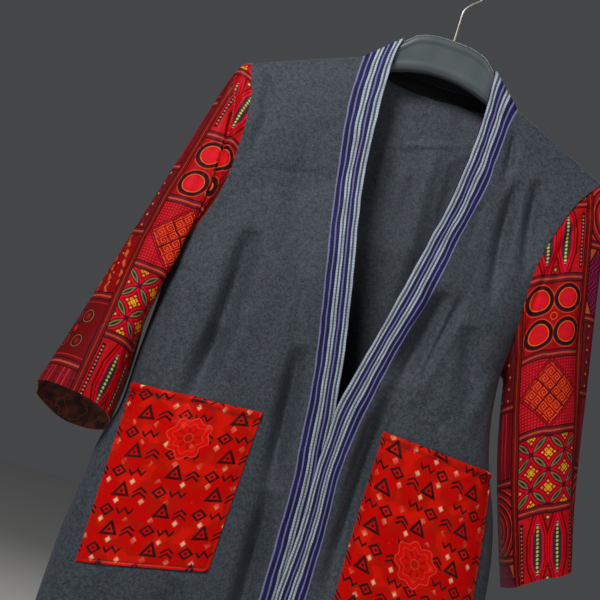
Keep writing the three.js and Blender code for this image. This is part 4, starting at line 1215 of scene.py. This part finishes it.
def make_fronts():
    lines = []
    for side in SIGN:
        grid = front_grid(side)
        normals = grid_normals(grid, FORWARD)
        add_sheet(f"front_{side}", grid, grid - normals * SHELL["cloth"], arc_coordinates(grid), [BODY, BODY])
        lines.append(hem_line(grid, normals, STITCH["hem"]))
    sew("front_hem_stitches", lines, THREAD["body"])


def make_back():
    grid = back_grid()
    normals = grid_normals(grid, BACKWARD)
    add_sheet("back", grid, grid - normals * SHELL["cloth"], arc_coordinates(grid), [BODY, BACK_INSIDE])
    sew("back_hem_stitches", [hem_line(grid, normals, STITCH["hem"])], THREAD["body"])


def band_coordinates(grid):
    """Across the band from its folded edge, scaled to the woven width, and the length down it"""
    coordinates = arc_coordinates(grid)
    coordinates[..., 0] = np.linspace(BAND_WIDTH, 0, grid.shape[1]) * MM
    return coordinates


def make_bands():
    for side in SIGN:
        grid = front_band_grid(side)
        normals = grid_normals(grid, FORWARD)
        outer = grid + normals * (SHELL["band"] - CLOTH) / 2
        add_sheet(f"band_{side}", outer, outer - normals * SHELL["band"], band_coordinates(grid),
                  [BAND, BAND_REVERSE])
    grid = back_band_grid()
    inner = grid - grid_normals(grid, BACKWARD) * SHELL["band"]
    turned = band_coordinates(grid.transpose(1, 0, 2)).transpose(1, 0, 2)
    add_sheet("band_back", grid, inner, turned, [BAND, BAND_REVERSE])


def head_roll(side, grid, down):
    """Troughs and ridges beside the armhole seam: a roll, a valley and cross puckers"""
    roll = HEAD_ROLL[side]
    around = travelled(grid[0])
    turn = np.linspace(0.5, -0.5, grid.shape[1])
    share = np.sin(math.pi * np.abs(turn) * 2) ** ROLL_REACH["ends"] * np.where(turn > 0, 1, roll["back"])
    ridge = roll["height"] * np.exp(-((down - roll["place"]) / ROLL_REACH["ridge"]) ** 2)
    valley = roll["depth"] * np.exp(-((down - roll["valley"]) / ROLL_REACH["valley"]) ** 2)
    swing = HEAD_PUCKER["swing"] * np.sin(around / HEAD_PUCKER["length"])
    pucker = np.sin(around / HEAD_PUCKER["pitch"] + swing) * np.exp(-(down / ROLL_REACH["pucker"]) ** 2)
    start = 1 - np.exp(-down / ROLL_REACH["seam"])
    return (valley - ridge + roll["pucker"] * pucker) * share * start


def make_sleeves():
    lines = []
    for side in SIGN:
        grid = sleeve_grid(side)
        u, v = sleeve_coordinates(side, grid)
        open_ring = grid[:, :-1]
        normals = grid_normals(open_ring, open_ring - open_ring.mean(axis=1, keepdims=True), ring=True)
        depth = crease_depth(SLEEVE_CREASES[side], u, v) + ripple(u, v, SIGN[side] + 7) * RIPPLE["sleeve"]
        down, roll = travelled(grid), HEAD_ROLL[side]
        calm = smooth_share(np.arange(len(grid)), 0, SLEEVE_GRID["calm_rings"])[:, None]
        depth = depth * calm + head_roll(side, grid, down)
        outer = open_ring - normals * depth[:, :-1, None]
        start, end = (roll["valley"] + ROLL_REACH["hidden"] * way for way in (-1, 1))
        before_valley = 1 - smooth_share(down, start, end)
        line = np.interp(v, *np.array(FRAME_LINE[side], float).T) - roll["hidden"] * before_valley
        print_place = np.stack([u - line, down[-1:] - down + CUFF_PRINT[side]], axis=-1) * MM
        add_sheet(f"sleeve_{side}", outer, outer - normals * SHELL["cloth"], print_place,
                  [SLEEVE[side], SLEEVE_REVERSE])
        lines.append(hem_line(outer, normals, STITCH["cuff"]))
    sew("cuff_stitches", lines, THREAD["sleeve"])


def pocket_grid(side):
    pocket = POCKETS[side]
    down = np.linspace(0, 1, POCKET_GRID["rows"] + 1)[:, None]
    across = np.linspace(0, 1, POCKET_GRID["columns"] + 1)[None, :]
    inner = lerp(pocket["top_inner"], pocket["bottom_inner"], down)
    outer = lerp(pocket["top_outer"], pocket["bottom_outer"], down)
    x = lerp(inner, outer, across)
    z = lerp(pocket["top"], pocket["bottom"], down)
    z = z - lerp(pocket["outer_drop"], pocket["bottom_drop"], down) * across
    return np.stack([x, -front_depth(side, x, z), z], axis=-1)


def pocket_thickness(side, grid):
    """A rolled top hem, a groove along the stitches and soft creases"""
    across, down = travelled(grid.transpose(1, 0, 2)).T, travelled(grid)
    edge = np.minimum(np.minimum(across, across[:, -1:] - across), down[-1:] - down)
    wave = np.sin(across / POCKET_HEM["short"] + SIGN[side]) * np.sin(across / POCKET_HEM["long"])
    hem = POCKET_HEM["width"] + POCKET_HEM["wave"] * wave
    rolled = POCKET_HEM["height"] * np.maximum(1 - np.abs(2 * down / hem - 1) ** 3, 0) ** 0.5
    from_stitch = (edge - POCKET_EDGE["stitch"]) / POCKET_EDGE["groove_width"]
    groove = POCKET_EDGE["groove"] * np.exp(-from_stitch**2)
    fold = POCKET_EDGE["fold"] * smooth_share(-edge, -POCKET_EDGE["fold_inside"], -POCKET_EDGE["fold_outside"])
    pucker = POCKET_PUCKER["height"] * np.sin((across + down) / POCKET_PUCKER["pitch"])
    pucker = pucker * np.exp(-(edge / POCKET_PUCKER["reach"]) ** 2)
    inward = smooth_share(edge, 0, POCKET_MIDDLE["creased_from"])
    x, z, scale = grid[..., 0], grid[..., 2], POCKET_MIDDLE["ripple_scale"]
    creases = crease_depth(POCKET_CREASES[side], x, z) * inward
    soft = ripple(x * scale, z * scale, SIGN[side] + 4) * RIPPLE["pocket"] * inward
    lift = creases.max() + RIPPLE["pocket"] - creases + soft
    lift = lift * smooth_share(edge, 0, POCKET_MIDDLE["lifted_from"])
    return SHELL["pocket"] + rolled + fold + pucker - groove + lift


def make_pockets():
    for side in SIGN:
        grid = pocket_grid(side)
        normals = grid_normals(grid, FORWARD)
        inner = grid + normals * SHELL["pocket_lift"]
        outer = inner + normals * pocket_thickness(side, grid)[..., None]
        add_sheet(f"pocket_{side}", outer, inner, arc_coordinates(grid), [POCKET[side], POCKET[side]])
        row_step = np.linalg.norm(grid[1, 0] - grid[0, 0])
        column_step = np.linalg.norm(grid[0, 1] - grid[0, 0])
        r, c = round(POCKET_EDGE["stitch"] / row_step), round(POCKET_EDGE["stitch"] / column_step)
        hem_row = round((POCKET_HEM["width"] + 1) / row_step)
        paths = [np.s_[:, c], np.s_[:, -1 - c], np.s_[-1 - r, c:-c], np.s_[hem_row, c:-c]]
        lines = [(outer[at], normals[at]) for at in paths]
        sew(f"pocket_{side}_stitches", lines, THREAD["pocket"])


def hanger_rings():
    """Sections along the hanger: a recessed panel between two rounded rims on each face"""
    turn = math.pi / 2 * HANGER_ARM["spread"]
    steps = np.linspace(-1, 1, 2 * HANGER_GRID["half"] + 1)
    x = HANGER_ARM["end"] * np.sin(turn * steps) / math.sin(turn)
    distance = np.abs(x)
    taper = np.sqrt(1 - np.clip((distance - HANGER_TIP["start"]) / HANGER_TIP["length"], 0, 1) ** 2)
    thickness = hanger_half_thickness(x) * taper
    corner = np.minimum(distance / HANGER_NECK["half_width"], 1) ** 3
    plateau = HANGER_NECK["top"] - HANGER_NECK["corner_drop"] * corner
    step = smooth_share(distance, BAND_STEP["start"], BAND_STEP["end"])
    under = lerp(HANGER_ARM["band_clearance"], HANGER_ARM["cloth_clearance"], step)
    top = np.minimum(plateau, ridge_height(x) - under)
    bottom = np.interp(distance, *np.array(HANGER_LOWER, float).T)
    middle, half_height = (top + bottom) / 2, (top - bottom) / 2 * lerp(HANGER_TIP["height"], 1, taper)
    straight = (half_height - thickness)[:, None]
    arc = np.linspace(0, math.pi, HANGER_GRID["arc"])
    run = np.linspace(1, -1, HANGER_GRID["straight"] + 2)[1:-1]
    ones, rest = np.ones_like(run), np.zeros_like(run)
    out = np.concatenate([np.cos(arc), -ones, -np.cos(arc), ones])
    rise = np.concatenate([np.sin(arc), rest, -np.sin(arc), rest])
    level = np.concatenate([np.ones_like(arc), run, -np.ones_like(arc), -run])
    room = straight * (1 - np.abs(level)) - HANGER_PANEL["rim"]
    recess = HANGER_PANEL["recess"] * smooth_share(room, 0, HANGER_PANEL["slope"])
    recess = recess * taper[:, None] * (np.abs(rise) < FLAT_FACE)
    y = out * (thickness[:, None] - recess)
    z = middle[:, None] + level * straight + rise * thickness[:, None]
    return np.stack([np.broadcast_to(x[:, None], y.shape), y, z], axis=-1)


def hook_rings():
    """Rings along the shank, the bend and the crook, down to a rounded tip"""
    radius, crook = HOOK["wire"], HOOK["crook"]
    centre = np.array([0, radius - crook])
    join_angle, end_angle = math.radians(HOOK["join_angle"]), math.radians(HOOK["end_angle"])
    join = centre + crook * np.array([math.cos(join_angle), math.sin(join_angle)])
    corner = np.array([0, join[1] - join[0] / -math.sin(join_angle) * math.cos(join_angle)])
    bend_start = corner - np.array([0, HOOK["bend_lead"]])
    shank_end = np.array([0, HANGER_NECK["top"] + SEAM_GAP])
    shank = lerp(shank_end, bend_start, np.linspace(0, 1, HOOK_GRID["shank"])[:, None])
    t = np.linspace(0, 1, HOOK_GRID["bend"])[1:, None]
    bend = (1 - t) ** 2 * bend_start + 2 * t * (1 - t) * corner + t**2 * join
    angle = np.linspace(join_angle, end_angle, HOOK_GRID["crook"])[1:]
    arc = centre + crook * np.stack([np.cos(angle), np.sin(angle)], axis=-1)
    path = np.concatenate([shank, bend, arc])
    run = np.gradient(path, axis=0)
    run /= np.linalg.norm(run, axis=-1, keepdims=True)
    left = np.linalg.norm(path - path[-1], axis=-1)
    width = radius * np.sqrt(np.clip(1 - (1 - np.minimum(left / radius, 1)) ** 2, HOOK["tip"], 1))
    turn = np.linspace(0, 2 * math.pi, HOOK_GRID["round"], endpoint=False)
    in_plane = width[:, None] * np.cos(turn)
    x = path[:, :1] - run[:, 1:] * in_plane
    z = path[:, 1:] + run[:, :1] * in_plane
    return np.stack([x, width[:, None] * np.sin(turn), z], axis=-1)


def make_hanger():
    hanger = add_tubes("hanger_moulding", hanger_rings()[None], hanger_finish())
    attach(hanger, ("hanger",))
    hook = add_tubes("hook_wire_bent", hook_rings()[None], wire_finish())
    attach(hook, ("hanger_hook",))


make_fronts()
make_back()
make_bands()
make_sleeves()
make_pockets()
make_hanger()


# Floor, and soft lamps: place, size and power
LAMPS = {
    "key_lamp": ((-0.95, -1.35, 0.9), 0.5, 38),
    "fill_lamp": ((1.3, -1.9, 0.7), 1.2, 8),
    "back_lamp": ((0.3, 2.0, 0.8), 1.8, 16),
}
LAMP_TARGET = Vector((-0.05, 0, -0.45))
WORLD = {"colour": (214, 216, 220), "strength": 0.09}
FLOOR = {"size": 12, "height": -1.30}


def make_stage():
    bpy.ops.mesh.primitive_plane_add(size=FLOOR["size"], location=(0, 0, FLOOR["height"]))
    floor = bpy.context.object
    floor.name = "floor"
    floor.data.materials.append(floor_finish())
    for name, (spot, size, power) in LAMPS.items():
        data = bpy.data.lights.new(name, "AREA")
        data.size, data.energy = size, power
        light = bpy.data.objects.new(name, data)
        light.location = spot
        light.rotation_euler = (LAMP_TARGET - light.location).to_track_quat("-Z", "Y").to_euler()
        bpy.context.scene.collection.objects.link(light)
    world = bpy.data.worlds.new("studio")
    world.use_nodes = True
    background = world.node_tree.nodes["Background"]
    background.inputs["Color"].default_value = (*linear(WORLD["colour"]), 1)
    background.inputs["Strength"].default_value = WORLD["strength"]
    bpy.context.scene.world = world


make_stage()
bpy.context.scene.view_settings.view_transform = "Standard"
